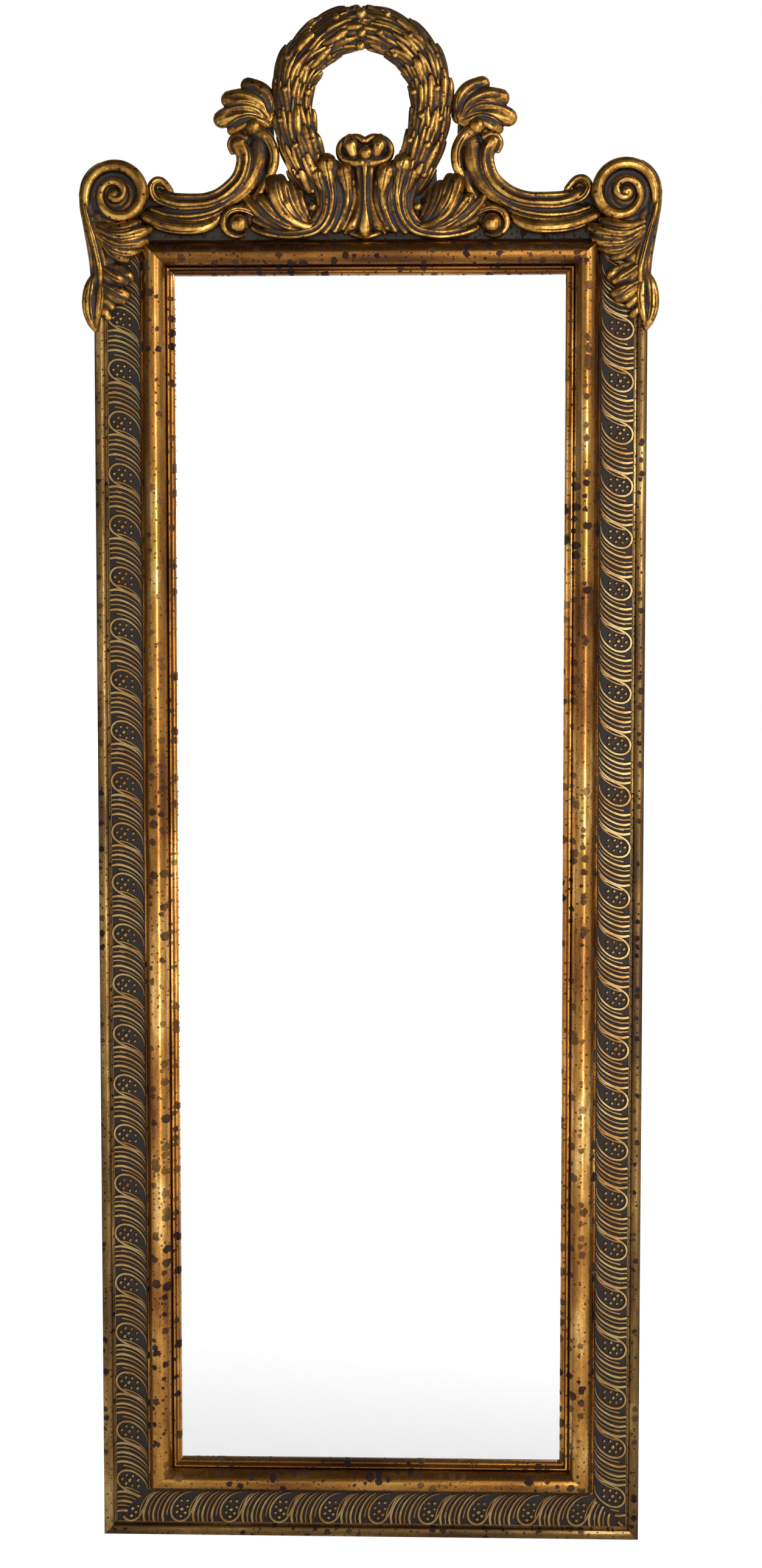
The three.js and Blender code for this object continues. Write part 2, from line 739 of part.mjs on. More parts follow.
const mirrored = (solid) => solidOf(mirrorX(geometryOf(solid)));
let wreath = onGround(wreathSolid());
[['right', 1], ['left', -1]].forEach(([name, side]) => {
  const { pieces, cut } = sideCarvings(side);
  Object.entries(pieces).forEach(([piece, solid]) => {
    const geometry = geometryOf(mainBody(onGround(solid)));
    addPiece(crestGroup, `${piece}_${name}`, side > 0 ? geometry : mirrorX(geometry), gilt);
  });
  wreath = wreath.subtract(side > 0 ? cut : mirrored(cut));
});
addPiece(crestGroup, 'wreath', mainBody(wreath), gilt);

// backing board of the crest, sawn to stay inside the carving
const crestOutline = [
  [0, 16], [46, 16], [54, 30], [60, 58], [88, 58], [91, 14], [100, 7], [110, 9], [116, 30],
  [117, 92], [124, 112], [146, 116], [164, 108], [156, 88], [146, 74], [142, 54], [146, 34],
  [155, 16], [168, 5],
];
function crestBoardSolid() {
  const half = crestOutline.map(([out, up]) => [out, up - crestBoardMargin]);
  const rightEdge = [...half, [crestBoardReach, gap]];
  const leftEdge = rightEdge.slice(1).reverse().map(([out, up]) => [-out, up]);
  const shape = new THREE.Shape(
    [...leftEdge, ...rightEdge].map(([x, z]) => new THREE.Vector2(x, z)));
  const geometry = new THREE.ExtrudeGeometry(
    shape, { depth: crestBoardThickness, bevelEnabled: false });
  geometry.rotateX(Math.PI / 2);
  geometry.translate(crestShift, -crestBack, topZ);
  return solidOf(geometry);
}
let crestBoard = crestBoardSolid();
[['left', -1], ['right', 1]].forEach(([name, side]) => {
  crestBoard = crestBoard.subtract(battenScrewHoles(side));
  addPiece(mirror, `crest_batten_${name}`, batten(side).subtract(battenScrewHoles(side)),
    paleWood);
  battenScrewSpots.forEach(([level, z]) => {
    const screw = addPiece(mirror, `batten_screw_${name}_${level}`,
      slottedScrew(battenScrewLength), steel);
    screw.position.set(crestShift + side * battenOut, -battenScrewDepth, z);
  });
});
addPiece(mirror, 'crest_board', crestBoard, umberWood);

// ---------- ears ----------
[['left', -1], ['right', 1]].forEach(([name, side]) => {
  const ear = new THREE.Group();
  ear.position.set(side * earOut, -earBack, topZ + earRise);
  mirror.add(ear);
  const volute = geometryOf(mainBody(onGround(voluteSolid())));
  const leaf = geometryOf(mainBody(onGround(earLeafSolid().subtract(voluteSolid(gap)))));
  addPiece(ear, `ear_volute_${name}`, side > 0 ? volute : mirrorX(volute), gilt);
  addPiece(ear, `ear_leaf_${name}`, side > 0 ? leaf : mirrorX(leaf), gilt);
});

// ---------- hangers ----------
[['left', -1], ['right', 1]].forEach(([name, side]) => {
  const hanger = new THREE.Group();
  hanger.position.set(side * hangerOut, -ringAxisDepth, hangerZ);
  mirror.add(hanger);
  addPiece(hanger, `hanger_plate_${name}`, strapSolid(), brass);
  addPiece(hanger, `d_ring_${name}`, ringGeometry(), steel);
  hangerScrewDrops.forEach(([level, drop]) => {
    const screw = addPiece(hanger, `hanger_screw_${name}_${level}`,
      slottedScrew(hangerScrewLength), steel);
    screw.position.set(0, ringAxisDepth - hangerScrewDepth, -drop);
  });
});

export default mirror;
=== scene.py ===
import math
import random
import bpy
import numpy as np
from mathutils import Matrix, Vector


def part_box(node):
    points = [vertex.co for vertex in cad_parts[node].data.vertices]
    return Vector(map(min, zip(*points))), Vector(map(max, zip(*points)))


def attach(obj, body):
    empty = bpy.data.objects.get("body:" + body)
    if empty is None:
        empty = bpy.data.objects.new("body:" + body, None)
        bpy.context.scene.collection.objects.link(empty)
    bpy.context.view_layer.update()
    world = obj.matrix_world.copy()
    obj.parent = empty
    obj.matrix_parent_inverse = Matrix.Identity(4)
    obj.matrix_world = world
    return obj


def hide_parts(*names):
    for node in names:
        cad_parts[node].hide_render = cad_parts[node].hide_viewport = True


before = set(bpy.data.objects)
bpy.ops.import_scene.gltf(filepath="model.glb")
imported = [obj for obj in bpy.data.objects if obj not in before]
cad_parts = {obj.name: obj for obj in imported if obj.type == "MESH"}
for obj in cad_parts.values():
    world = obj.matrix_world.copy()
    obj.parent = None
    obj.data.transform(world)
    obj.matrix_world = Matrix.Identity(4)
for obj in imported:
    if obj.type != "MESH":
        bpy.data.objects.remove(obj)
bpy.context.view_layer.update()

mm = 0.001
random.seed(11)

# where the carvings stand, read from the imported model
claspLow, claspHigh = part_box("clasp")
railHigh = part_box("rail_top")[1]
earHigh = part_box("ear_volute_right")[1]
frameLow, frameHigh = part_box("stile_right")
topZ = railHigh.z
bottomZ = frameLow.z
halfWidth = frameHigh.x
crestX = (claspLow.x + claspHigh.x) / 2
crestSpot = (crestX, claspHigh.y, topZ)
earRadius = 46 * mm
earDrop = 5 * mm  # how far the middle of each ear lies under the top rail's edge
earX = earHigh.x - earRadius
earZ = topZ - earDrop


def choose(*pieces):
    if bpy.context.object and bpy.context.object.mode != "OBJECT":
        bpy.ops.object.mode_set(mode="OBJECT")
    bpy.ops.object.select_all(action="DESELECT")
    for piece in pieces:
        piece.select_set(True)
    bpy.context.view_layer.objects.active = pieces[0]


def finishWith(piece, kind, **settings):
    choose(piece)
    modifier = piece.modifiers.new(kind.lower(), kind)
    for key, value in settings.items():
        setattr(modifier, key, value)
    bpy.ops.object.modifier_apply(modifier=modifier.name)


def smoothShade(piece, degrees):
    choose(piece)
    bpy.ops.object.shade_smooth_by_angle(angle=math.radians(degrees))


# every point's place, or its normal
def corners(piece, kind="co"):
    found = np.empty(len(piece.data.vertices) * 3)
    piece.data.vertices.foreach_get(kind, found)
    return found.reshape(-1, 3)


def setCorners(piece, places):
    piece.data.vertices.foreach_set("co", np.ascontiguousarray(places, dtype=float).ravel())
    piece.data.update()


# keeps how hollow each point is, and where painted shade falls, 0 on a crest and 1 deep in a groove, for
# its finish to read
def keepHollowAndShade(piece, hollow):
    mark = piece.data.attributes.new("hollow", "FLOAT", "POINT")
    mark.data.foreach_set("value", np.clip(hollow, 0, 1).astype(np.float32))


def place(piece, name, material, slot, stands):
    piece.name = name
    piece.data.name = name
    piece.data.materials.clear()
    piece.data.materials.append(material)
    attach(piece, "frame")
    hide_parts(stands)


# A stroke is a list of [out, up, radius, lift] in mm: how far out from the middle, how far
# up, how thick, and how far its middle stands in front of the ground.
carving = {
    "thinnest": 0.4,  # mm, the least radius of a stroke
    "hairline": 0.05,  # mm, the least radius of a tube's ring
    "tip": (0.5, 0.85, 0.99),  # the rings that round a tip, as shares of its radius
    "coarser": 1,
}
gougeMark = {
    "facing": -0.1,  # only what faces the front is pressed
    "step": 0.5,  # mm between points along a cut
    "fade": 6,  # how soon a cut reaches its full depth
    "least": 0.1,  # share of its depth at its very ends
}
# a point is hollow by how its fine grain sinks, where patina gathers, and by how it lies in a broad dip
# and how far back it is, which is painted shade
hollowShadeMark = {
    "flat": 0.38,
    "sink": 0.34,
    "sinkReach": 0.5,  # mm
    "dip": 0.6,
    "dipReach": 4.5,  # mm
    "back": 0.35,
    "halfBack": 0.45,
    "spacing": 0.95,  # mm between points, for which the rounds below are meant
    "fineRounds": 6,
    "broadRounds": 70,
}


# a smooth path through the points of a stroke
def flow(points, perSpan=5):
    p = np.array(points, float)
    p = np.vstack([2 * p[0] - p[1], p, 2 * p[-1] - p[-2]])
    t = np.linspace(0, 1, perSpan, endpoint=False)[:, None]
    spans = []
    for i in range(1, len(p) - 2):
        a, b, c, d = p[i - 1:i + 3]
        bow = (2 * a - 5 * b + 4 * c - d) * t**2 + (3 * b - a - 3 * c + d) * t**3
        spans.append(0.5 * (2 * b + (c - a) * t + bow))
    return np.vstack(spans + [p[-2:-1]])


# rounds both ends of a line of [x, y, z, radius]
def rounded(line):
    ends = []
    for tip, inner in ((line[0], line[1]), (line[-1], line[-2])):
        way = tip[:3] - inner[:3]
        way = way / max(np.linalg.norm(way), 1e-9)
        ends.append([np.append(tip[:3] + way * tip[3] * reach, tip[3] * math.sqrt(1 - reach**2))
                     for reach in carving["tip"]])
    return np.vstack([ends[0][::-1], line, ends[1]])


# a ball, as an upright line whose radius swells and shrinks
def ballLine(x, y, z, radius):
    rows = [math.radians(a) for a in range(-81, 82, 18)]
    return np.array([[x, y, z + radius * math.sin(a), radius * math.cos(a)] for a in rows])


# the same path with a point every `step` mm
def evenly(path, step):
    lengths = np.concatenate([[0], np.cumsum(np.linalg.norm(np.diff(path, axis=0), axis=1))])
    stations = np.linspace(0, lengths[-1], max(3, int(lengths[-1] / step)))
    return np.column_stack([np.interp(stations, lengths, path[:, k]) for k in range(path.shape[1])])


# one mesh of a tube along each line of [x, y, z, radius]
def tubes(lines, roundness=5):
    bpy.ops.curve.primitive_bezier_curve_add()
    piece = bpy.context.object
    drawing = piece.data
    drawing.splines.clear()
    drawing.bevel_depth = mm
    drawing.bevel_resolution = roundness
    drawing.use_fill_caps = True
    for line in lines:
        spline = drawing.splines.new("POLY")
        spline.points.add(len(line) - 1)
        spots = np.ones((len(line), 4))
        spots[:, :3] = line[:, :3] * mm
        spline.points.foreach_set("co", spots.ravel())
        spline.points.foreach_set("radius", np.maximum(line[:, 3], carving["hairline"]))
    choose(piece)
    bpy.ops.object.convert(target="MESH")
    return piece


# strokes to lines of [x, y, z, radius] with the ground at y = 0, and `side` -1 on the left
def onGround(strokes, side=1, perSpan=5):
    lines = []
    for stroke in strokes:
        smooth = flow(stroke, perSpan)
        thick = np.maximum(smooth[:, 2], carving["thinnest"])
        lines.append(rounded(np.column_stack([side * smooth[:, 0], -smooth[:, 3], smooth[:, 1], thick])))
    return lines


# one body from overlapping tubes, flattened towards the ground and with a flat back on it
def fuse(lines, grain, flatness, softness):
    for line in lines:
        line[:, 1] /= flatness
    piece = tubes(lines)
    spots = corners(piece)
    spots[:, 1] = np.minimum(spots[:, 1] * flatness, 0)
    setCorners(piece, spots)
    finishWith(piece, "REMESH", mode="VOXEL", voxel_size=grain * mm, use_smooth_shade=True)
    finishWith(piece, "SMOOTH", factor=0.5, iterations=softness)
    return piece


# presses gouge lines of [out, up] into the carving's front: [width, depth, line, line, ...]
def gouge(piece, cuts, side):
    spots, normals = corners(piece), corners(piece, "normal")
    front = np.nonzero(normals[:, 1] < gougeMark["facing"])[0]
    seen = spots[front][:, [0, 2]] / mm
    for width, depth, *lines in cuts:
        for line in lines:
            path = evenly(flow(line, 12)[:, :2] * [side, 1], gougeMark["step"])
            near = np.nonzero(((seen > path.min(0) - width) & (seen < path.max(0) + width)).all(1))[0]
            if not len(near):
                continue
            away = np.linalg.norm(seen[near, None] - path[None], axis=2)
            share = np.linspace(0, 1, len(path))[away.argmin(1)]
            fade = np.clip(gougeMark["fade"] * np.minimum(share, 1 - share) + gougeMark["least"], 0, 1)
            press = np.clip(1 - (away.min(1) / width) ** 2, 0, 1) ** 2 * fade * depth * mm
            spots[front[near]] += normals[front[near]] * press[:, None]
    setCorners(piece, spots)


# moves each point to the middle of its neighbours, `rounds` times
def smoothed(spots, edges, counts, rounds):
    a, b = edges[:, 0], edges[:, 1]
    for _ in range(rounds):
        total = np.empty_like(spots)
        for axis in range(3):
            total[:, axis] = (np.bincount(a, spots[b, axis], len(spots))
                              + np.bincount(b, spots[a, axis], len(spots)))
        spots = total / counts[:, None]
    return spots


def findHollowsAndShade(piece, grain):
    spots, normals = corners(piece), corners(piece, "normal")
    edges = np.empty(len(piece.data.edges) * 2, dtype=int)
    piece.data.edges.foreach_get("vertices", edges)
    edges = edges.reshape(-1, 2)
    counts = np.maximum(np.bincount(edges.ravel(), minlength=len(spots)), 1).astype(float)
    finer = (hollowShadeMark["spacing"] / grain) ** 2
    fine = smoothed(spots, edges, counts, max(2, round(hollowShadeMark["fineRounds"] * finer)))
    broad = smoothed(fine, edges, counts, max(8, round(hollowShadeMark["broadRounds"] * finer)))
    sink = ((fine - spots) * normals).sum(1) / (hollowShadeMark["sinkReach"] * mm)
    # the broad dip and how far back a point is paint shade into its colour
    dip = ((broad - spots) * normals).sum(1) / (hollowShadeMark["dipReach"] * mm)
    front = min(spots[:, 1].min(), -mm)
    back = 1 - np.clip(spots[:, 1] / front, 0, 1)
    keepHollowAndShade(piece, hollowShadeMark["flat"] + hollowShadeMark["sink"] * sink + hollowShadeMark["dip"] * dip
               + hollowShadeMark["back"] * (back - hollowShadeMark["halfBack"]))


# A whole carving: strokes and balls fused, gouged, marked by hollow and painted shade and thinned to
# `faces`.
# `fitted` stretches what is drawn, and `extraLines` are tubes that are ready made.
def carve(name, pattern, side, stands, spot, fitted=list, extraLines=()):
    swell = pattern.get("swell", 1)
    grain = pattern["grain"] * carving["coarser"]
    strokes = [fitted([[out, up, radius * swell, lift] for out, up, radius, lift in stroke])
               for stroke in pattern["strokes"]]
    lines = onGround(strokes, side) + list(extraLines)
    for out, up, radius, lift in fitted(pattern["balls"]):
        lines.append(ballLine(side * out, -lift, up, radius))
    piece = fuse(lines, grain, pattern["flatness"], pattern.get("softness", 2))
    cuts = [[width, depth, *map(fitted, drawn)] for width, depth, *drawn in pattern["cuts"]]
    gouge(piece, cuts, side)
    findHollowsAndShade(piece, grain)
    share = pattern["faces"] / (2 * len(piece.data.polygons))
    if share < 1:
        finishWith(piece, "DECIMATE", ratio=share)
    setCorners(piece, corners(piece) + spot)
    place(piece, name, carvedGilt, "carved_gilt", stands)


def link(tree, value, socket):
    if isinstance(value, bpy.types.NodeSocket):
        tree.links.new(value, socket)
    elif value is not None:
        socket.default_value = value


def node(tree, kind, inputs=(), **settings):
    made = tree.nodes.new("ShaderNode" + kind)
    for key, value in settings.items():
        setattr(made, key, value)
    for key, value in dict(inputs).items():
        link(tree, value, made.inputs[key])
    return made


def maths(tree, operation, a, b=None, clamp=False):
    made = node(tree, "Math", {0: a}, operation=operation, use_clamp=clamp)
    link(tree, b, made.inputs[1])
    return made.outputs[0]


def plus(tree, a, b, clamp=False):
    return maths(tree, "ADD", a, b, clamp)


def times(tree, a, b, clamp=False):
    return maths(tree, "MULTIPLY", a, b, clamp)


def ramp(tree, value, stops):
    made = node(tree, "ValToRGB", {"Fac": value})
    while len(made.color_ramp.elements) < len(stops):
        made.color_ramp.elements.new(0.5)
    for element, (position, colour) in zip(made.color_ramp.elements, stops):
        element.position = position
        element.color = (*colour, 1)
    return made.outputs["Color"]


def span(tree, value, low, high, newLow=0.0, newHigh=1.0):
    return node(tree, "MapRange", {"Value": value, "From Min": low, "From Max": high,
                                   "To Min": newLow, "To Max": newHigh}).outputs[0]


def mixColour(tree, share, first, second):
    made = node(tree, "MixRGB", {"Fac": share})
    for socket, colour in ((1, first), (2, second)):
        link(tree, colour if isinstance(colour, bpy.types.NodeSocket) else (*colour, 1),
             made.inputs[socket])
    return made.outputs[0]


# `top` laid over `colour` where `share` says, and never more than `most`
def laidOver(tree, colour, share, most, top):
    return mixColour(tree, times(tree, share, most), colour, top)


def noise(tree, place, scale, detail=4.0, roughness=0.55, distortion=0.0):
    return node(tree, "TexNoise", {"Vector": place, "Scale": scale, "Detail": detail,
                                   "Roughness": roughness, "Distortion": distortion}).outputs[0]


def axesOf(tree, value):
    return node(tree, "SeparateXYZ", {0: value}).outputs


# how far a face looks to the back: -1 for the front and 1 for the wall
def facingBack(tree):
    return axesOf(tree, node(tree, "NewGeometry").outputs["Normal"])[1]


# the place squeezed by `wide` across and by `long` along an axis, for streaks and grain
def drawnOut(tree, place, along, wide, long):
    scale = tuple(long if axis == along else wide for axis in range(3))
    return node(tree, "Mapping", {"Vector": place, "Scale": scale}).outputs[0]


def startMaterial(name):
    material = bpy.data.materials.new(name)
    material.use_nodes = True
    tree = material.node_tree
    shader = tree.nodes["Principled BSDF"]
    place = node(tree, "TexCoord").outputs["Object"]
    return material, tree, shader, place


def dress(tree, shader, colour=None, metal=None, rough=None):
    for socket, value in (("Base Color", colour), ("Metallic", metal), ("Roughness", rough)):
        link(tree, value, shader.inputs[socket])


def bump(tree, shader, height, strength, distance=0.0004):
    made = node(tree, "Bump", {"Height": height, "Strength": strength, "Distance": distance})
    tree.links.new(made.outputs[0], shader.inputs["Normal"])


# dark specks as an old gilder flicks them on, 0 outside and 1 inside, seen from the front
def specks(tree, place, scale, largest):
    ragged = 0.35 / scale
    parts = axesOf(tree, place)
    flat = node(tree, "CombineXYZ", {0: parts[0], 1: parts[2]}).outputs[0]
    worry = node(tree, "TexNoise", {"Vector": flat, "Scale": scale * 4, "Detail": 2.0})
    shift = node(tree, "VectorMath", {0: worry.outputs["Color"], 1: (0.5, 0.5, 0.5)},
                 operation="SUBTRACT").outputs[0]
    shift = node(tree, "VectorMath", {0: shift, "Scale": ragged}, operation="SCALE").outputs[0]
    shifted = node(tree, "VectorMath", {0: flat, 1: shift}, operation="ADD").outputs[0]
    cells = node(tree, "TexVoronoi", {"Vector": shifted, "Scale": scale}, voronoi_dimensions="2D")
    pick = node(tree, "SeparateColor", {0: cells.outputs["Color"]}).outputs[0]
    size = span(tree, pick, 0.25, 1.0, -0.02, largest)
    edge = maths(tree, "SUBTRACT", size, cells.outputs["Distance"])
    return span(tree, edge, -0.02, 0.035)


print("tools ready")

# the colours of each finish, from what stands proud or bright to what lies deep or dark; the mouldings'
# upright colours are lighter, a painted highlight, and those across darker, painted shade
giltColours = {
    "crest": [(0.0, (0.54, 0.305, 0.074)), (0.22, (0.285, 0.138, 0.026)), (0.4, (0.13, 0.059, 0.013)),
              (0.54, (0.068, 0.033, 0.012)), (0.72, (0.026, 0.018, 0.016)),
              (0.95, (0.016, 0.013, 0.017))],
    "upright": [(0.0, (0.86, 0.57, 0.22)), (0.35, (0.44, 0.21, 0.044)), (0.72, (0.21, 0.082, 0.018)),
                (1.0, (0.066, 0.028, 0.012))],
    "across": [(0.0, (0.54, 0.275, 0.062)), (0.4, (0.28, 0.12, 0.023)), (0.72, (0.13, 0.05, 0.011)),
               (1.0, (0.058, 0.025, 0.011))],
    "fillet": [(0.0, (0.44, 0.285, 0.10)), (0.35, (0.18, 0.10, 0.03)), (0.7, (0.08, 0.044, 0.017)),
               (1.0, (0.045, 0.03, 0.02))],
    "band": [(0.0, (0.38, 0.265, 0.11)), (0.25, (0.25, 0.165, 0.072)), (0.6, (0.12, 0.086, 0.05)),
             (0.9, (0.038, 0.031, 0.028))],
}
woodColours = {
    "pine": [(0.3, (0.36, 0.22, 0.11)), (0.55, (0.50, 0.33, 0.18)), (0.75, (0.30, 0.17, 0.08))],
    "plank": [(0.3, (0.24, 0.16, 0.09)), (0.55, (0.36, 0.25, 0.14)), (0.75, (0.19, 0.12, 0.07))],
    "dirt": (0.09, 0.06, 0.04),
}
# near-black tones laid on as painted shade behind and under the crest
paintedShadeColours = {
    "rail": [(0.3, (0.010, 0.008, 0.007)), (0.7, (0.035, 0.021, 0.011))],
    "board": [(0.3, (0.018, 0.014, 0.012)), (0.7, (0.065, 0.038, 0.016))],
}
speckColour = (0.020, 0.011, 0.015)
boleColour = (0.26, 0.045, 0.02)
warmWear = (0.30, 0.13, 0.03)
silverColours = ((0.97, 0.975, 0.98), (0.90, 0.90, 0.89))  # fresh, and aged at the edges


# how far down its colours each point lies, by wear and by painted shade: its hollow or height, clouded
# and gritty
def wearAndShadeShare(tree, base, cloud, grit):
    return plus(tree, plus(tree, base, cloud), grit, clamp=True)


# leaf over bole, rubbed bright on what stands proud, and dark in what lies deep or far back: patina in
# the hollows, and painted shade
def makeCarvedGilt():
    material, tree, shader, place = startMaterial("carvedGilt")
    hollow = node(tree, "Attribute", attribute_name="hollow").outputs["Fac"]
    cloud = span(tree, noise(tree, place, 34, 6, 0.68), 0.34, 0.66, -0.12, 0.4)
    grit = span(tree, noise(tree, place, 260, 4, 0.66), 0.3, 0.7, -0.1, 0.14)
    wearAndShade = wearAndShadeShare(tree, hollow, cloud, grit)
    patches = span(tree, noise(tree, place, 60, 4, 0.7), 0.6, 0.72)
    rubbed = times(tree, patches, span(tree, hollow, 0.5, 0.25), clamp=True)
    colour = laidOver(tree, ramp(tree, wearAndShade, giltColours["crest"]), rubbed, 0.5, boleColour)
    colour = laidOver(tree, colour, specks(tree, place, 95, 0.2), 0.85, speckColour)
    mottle = span(tree, noise(tree, place, 90), 0.3, 0.7, -0.06, 0.08)
    dress(tree, shader, colour, span(tree, wearAndShade, 0.4, 0.85, 0.96, 0.2),
          plus(tree, span(tree, wearAndShade, 0.1, 0.8, 0.27, 0.62), mottle))
    grain = times(tree, noise(tree, place, 900, 2), 0.35)
    bump(tree, shader, plus(tree, noise(tree, place, 240, 4), grain), 0.3)
    return material


# burnished leaf on the mouldings, clouded along their length and flicked with dark spots. The share
# given last darkens what is near the top, a painted shade under the crest, and `dull` adds to the
# roughness.
def makeMouldingGilt(name, colours, spots, dull, along, paintedShade=0.0):
    material, tree, shader, place = startMaterial(name)
    streak = drawnOut(tree, place, along, 1.0, 0.22)
    cloud = span(tree, noise(tree, streak, 22, 6, 0.66), 0.3, 0.7, -0.05, 0.95)
    grit = span(tree, noise(tree, place, 420, 3, 0.6), 0.3, 0.7, -0.08, 0.08)
    # painted shade: darker towards the top, under the crest
    high = span(tree, axesOf(tree, place)[2], -0.3, 0.0, 0.0, paintedShade)
    wearAndShade = wearAndShadeShare(tree, cloud, high, grit)
    red = span(tree, noise(tree, place, 48, 4, 0.7), 0.6, 0.74)
    colour = laidOver(tree, ramp(tree, wearAndShade, colours), red, 0.5, boleColour)
    crowd = span(tree, noise(tree, place, 9, 2), 0.4, 0.58, 0.6, 1.0)
    large = times(tree, specks(tree, place, 72, spots), crowd)
    small = times(tree, specks(tree, place, 150, 0.26), 0.8)
    dots = maths(tree, "MAXIMUM", large, small, clamp=True)
    colour = laidOver(tree, colour, dots, 0.93, speckColour)
    pitted = times(tree, dots, 0.5)
    dress(tree, shader, colour, span(tree, dots, 0, 1, 0.94, 0.8),
          plus(tree, span(tree, wearAndShade, 0, 1, 0.17 + dull, 0.36 + dull), pitted))
    bump(tree, shader, maths(tree, "SUBTRACT", noise(tree, place, 160, 5), pitted), 0.25)
    return material


# old bronze-coloured leaf, warm in patches on the ribs and dark between them, as dust and as painted
# shade, and darker in the painted shadow of the torus
def makeBandPatina():
    material, tree, shader, place = startMaterial("bandPatina")
    hollow = node(tree, "Attribute", attribute_name="hollow").outputs["Fac"]
    cloud = span(tree, noise(tree, place, 30, 5, 0.6), 0.3, 0.7, -0.14, 0.2)
    grit = span(tree, noise(tree, place, 500, 3, 0.6), 0.3, 0.7, -0.1, 0.1)
    wearAndShade = wearAndShadeShare(tree, hollow, cloud, grit)
    warm = span(tree, noise(tree, place, 30, 4, 0.66), 0.44, 0.62)
    warm = times(tree, warm, span(tree, wearAndShade, 0.8, 0.35), clamp=True)
    colour = laidOver(tree, ramp(tree, wearAndShade, giltColours["band"]), warm, 0.7, warmWear)
    dress(tree, shader, colour, span(tree, wearAndShade, 0.2, 0.9, 0.92, 0.5),
          span(tree, wearAndShade, 0.1, 0.8, 0.36, 0.62))
    shader.inputs["Specular IOR Level"].default_value = 0.2
    bump(tree, shader, noise(tree, place, 500, 3), 0.3)
    return material


# the colour of sawn wood with its grain `along` an axis, and the grain itself
def woodGrain(tree, place, along, colours):
    rings = noise(tree, drawnOut(tree, place, along, 9.0, 0.7), 14, 5, 0.6, 0.8)
    fibre = noise(tree, drawnOut(tree, place, along, 60.0, 2.0), 12, 3)
    value = plus(tree, rings, span(tree, fibre, 0.3, 0.7, -0.07, 0.07))
    return ramp(tree, value, colours), value


# raw softwood, dirty in patches
def makeWood(name, along, colours, dull=0.62):
    material, tree, shader, place = startMaterial(name)
    colour, grain = woodGrain(tree, place, along, colours)
    dirt = span(tree, noise(tree, place, 7, 5, 0.65), 0.45, 0.75, 0.0, 0.55)
    dress(tree, shader, mixColour(tree, dirt, colour, woodColours["dirt"]),
          rough=span(tree, grain, 0.3, 0.7, dull, dull + 0.2))
    bump(tree, shader, grain, 0.35)
    return material


# the frame's own wood: gilded fillet and sides, a near-black flat behind the crest that is painted
# shade, raw pine behind
def makeFrameGilt(name, along):
    material = makeMouldingGilt(name, giltColours["fillet"], 0.32, 0.08, along)
    tree = material.node_tree
    shader = tree.nodes["Principled BSDF"]
    gilt, metal, rough = (shader.inputs[socket].links[0].from_socket
                          for socket in ("Base Color", "Metallic", "Roughness"))
    away = facingBack(tree)
    place = node(tree, "TexCoord").outputs["Object"]
    across, _, up = axesOf(tree, place)
    pine, _ = woodGrain(tree, place, along, woodColours["pine"])
    back = span(tree, away, 0.6, 0.8)
    high = span(tree, up, topZ - 64 * mm, topZ - 60 * mm)
    inside = span(tree, maths(tree, "ABSOLUTE", across), halfWidth - 14 * mm, halfWidth - 16 * mm)
    facing = span(tree, away, -0.7, -0.9)
    # painted shade on the front of the top rail's flat behind the crest
    flatShade = times(tree, times(tree, facing, high), inside, clamp=True)
    paintedShade = ramp(tree, noise(tree, place, 70, 4, 0.6), paintedShadeColours["rail"])
    colour = laidOver(tree, gilt, flatShade, 0.95, paintedShade)
    bare = maths(tree, "MAXIMUM", back, times(tree, flatShade, 0.75))
    dress(tree, shader, mixColour(tree, back, colour, pine),
          times(tree, metal, maths(tree, "SUBTRACT", 1.0, bare)),
          plus(tree, rough, times(tree, bare, 0.3)))
    return material


# the sawn board behind the carving: near black in front and on its edges, painted shade behind the
# carving, raw behind
def makeBoardFinish():
    material, tree, shader, place = startMaterial("crestBoardFinish")
    pine, grain = woodGrain(tree, place, 0, woodColours["pine"])
    # painted shade: near black where the board shows between the carvings
    paintedShade = ramp(tree, noise(tree, place, 60, 4, 0.6), paintedShadeColours["board"])
    dress(tree, shader, mixColour(tree, span(tree, facingBack(tree), 0.6, 0.8), paintedShade, pine),
          rough=span(tree, grain, 0.3, 0.7, 0.5, 0.75))
    bump(tree, shader, grain, 0.3)
    return material


# old metal with dull patches: `bright` and `dark` are its colours
def makeMetal(name, bright, dark, rough):
    material, tree, shader, place = startMaterial(name)
    patches = span(tree, noise(tree, place, 160, 6, 0.65), 0.35, 0.68)
    dress(tree, shader, mixColour(tree, patches, bright, dark), span(tree, patches, 0, 1, 1.0, 0.55),
          span(tree, patches, 0, 1, rough, rough + 0.3))
    bump(tree, shader, noise(tree, place, 600, 4), 0.25, 0.0002)
    return material


# silvered glass, nearly spotless, a shade greyer where the silver has aged at the edges
def makeMirror():
    material, tree, shader, place = startMaterial("silveredGlass")
    edge = maths(tree, "ABSOLUTE", axesOf(tree, place)[0])
    aged = span(tree, edge, halfWidth - 110 * mm, halfWidth - 98 * mm)
    cloud = span(tree, noise(tree, place, 18, 5, 0.6), 0.3, 0.7, 0.0, 0.3)
    aged = times(tree, plus(tree, aged, cloud), 0.25, clamp=True)
    dress(tree, shader, mixColour(tree, aged, *silverColours),
          rough=span(tree, cloud, 0.0, 0.3, 0.004, 0.02))
    shader.inputs["Metallic"].default_value = 1.0
    return material


# the grain or the streaks run along an axis: 0 across the mirror, 2 up it
carvedGilt = makeCarvedGilt()
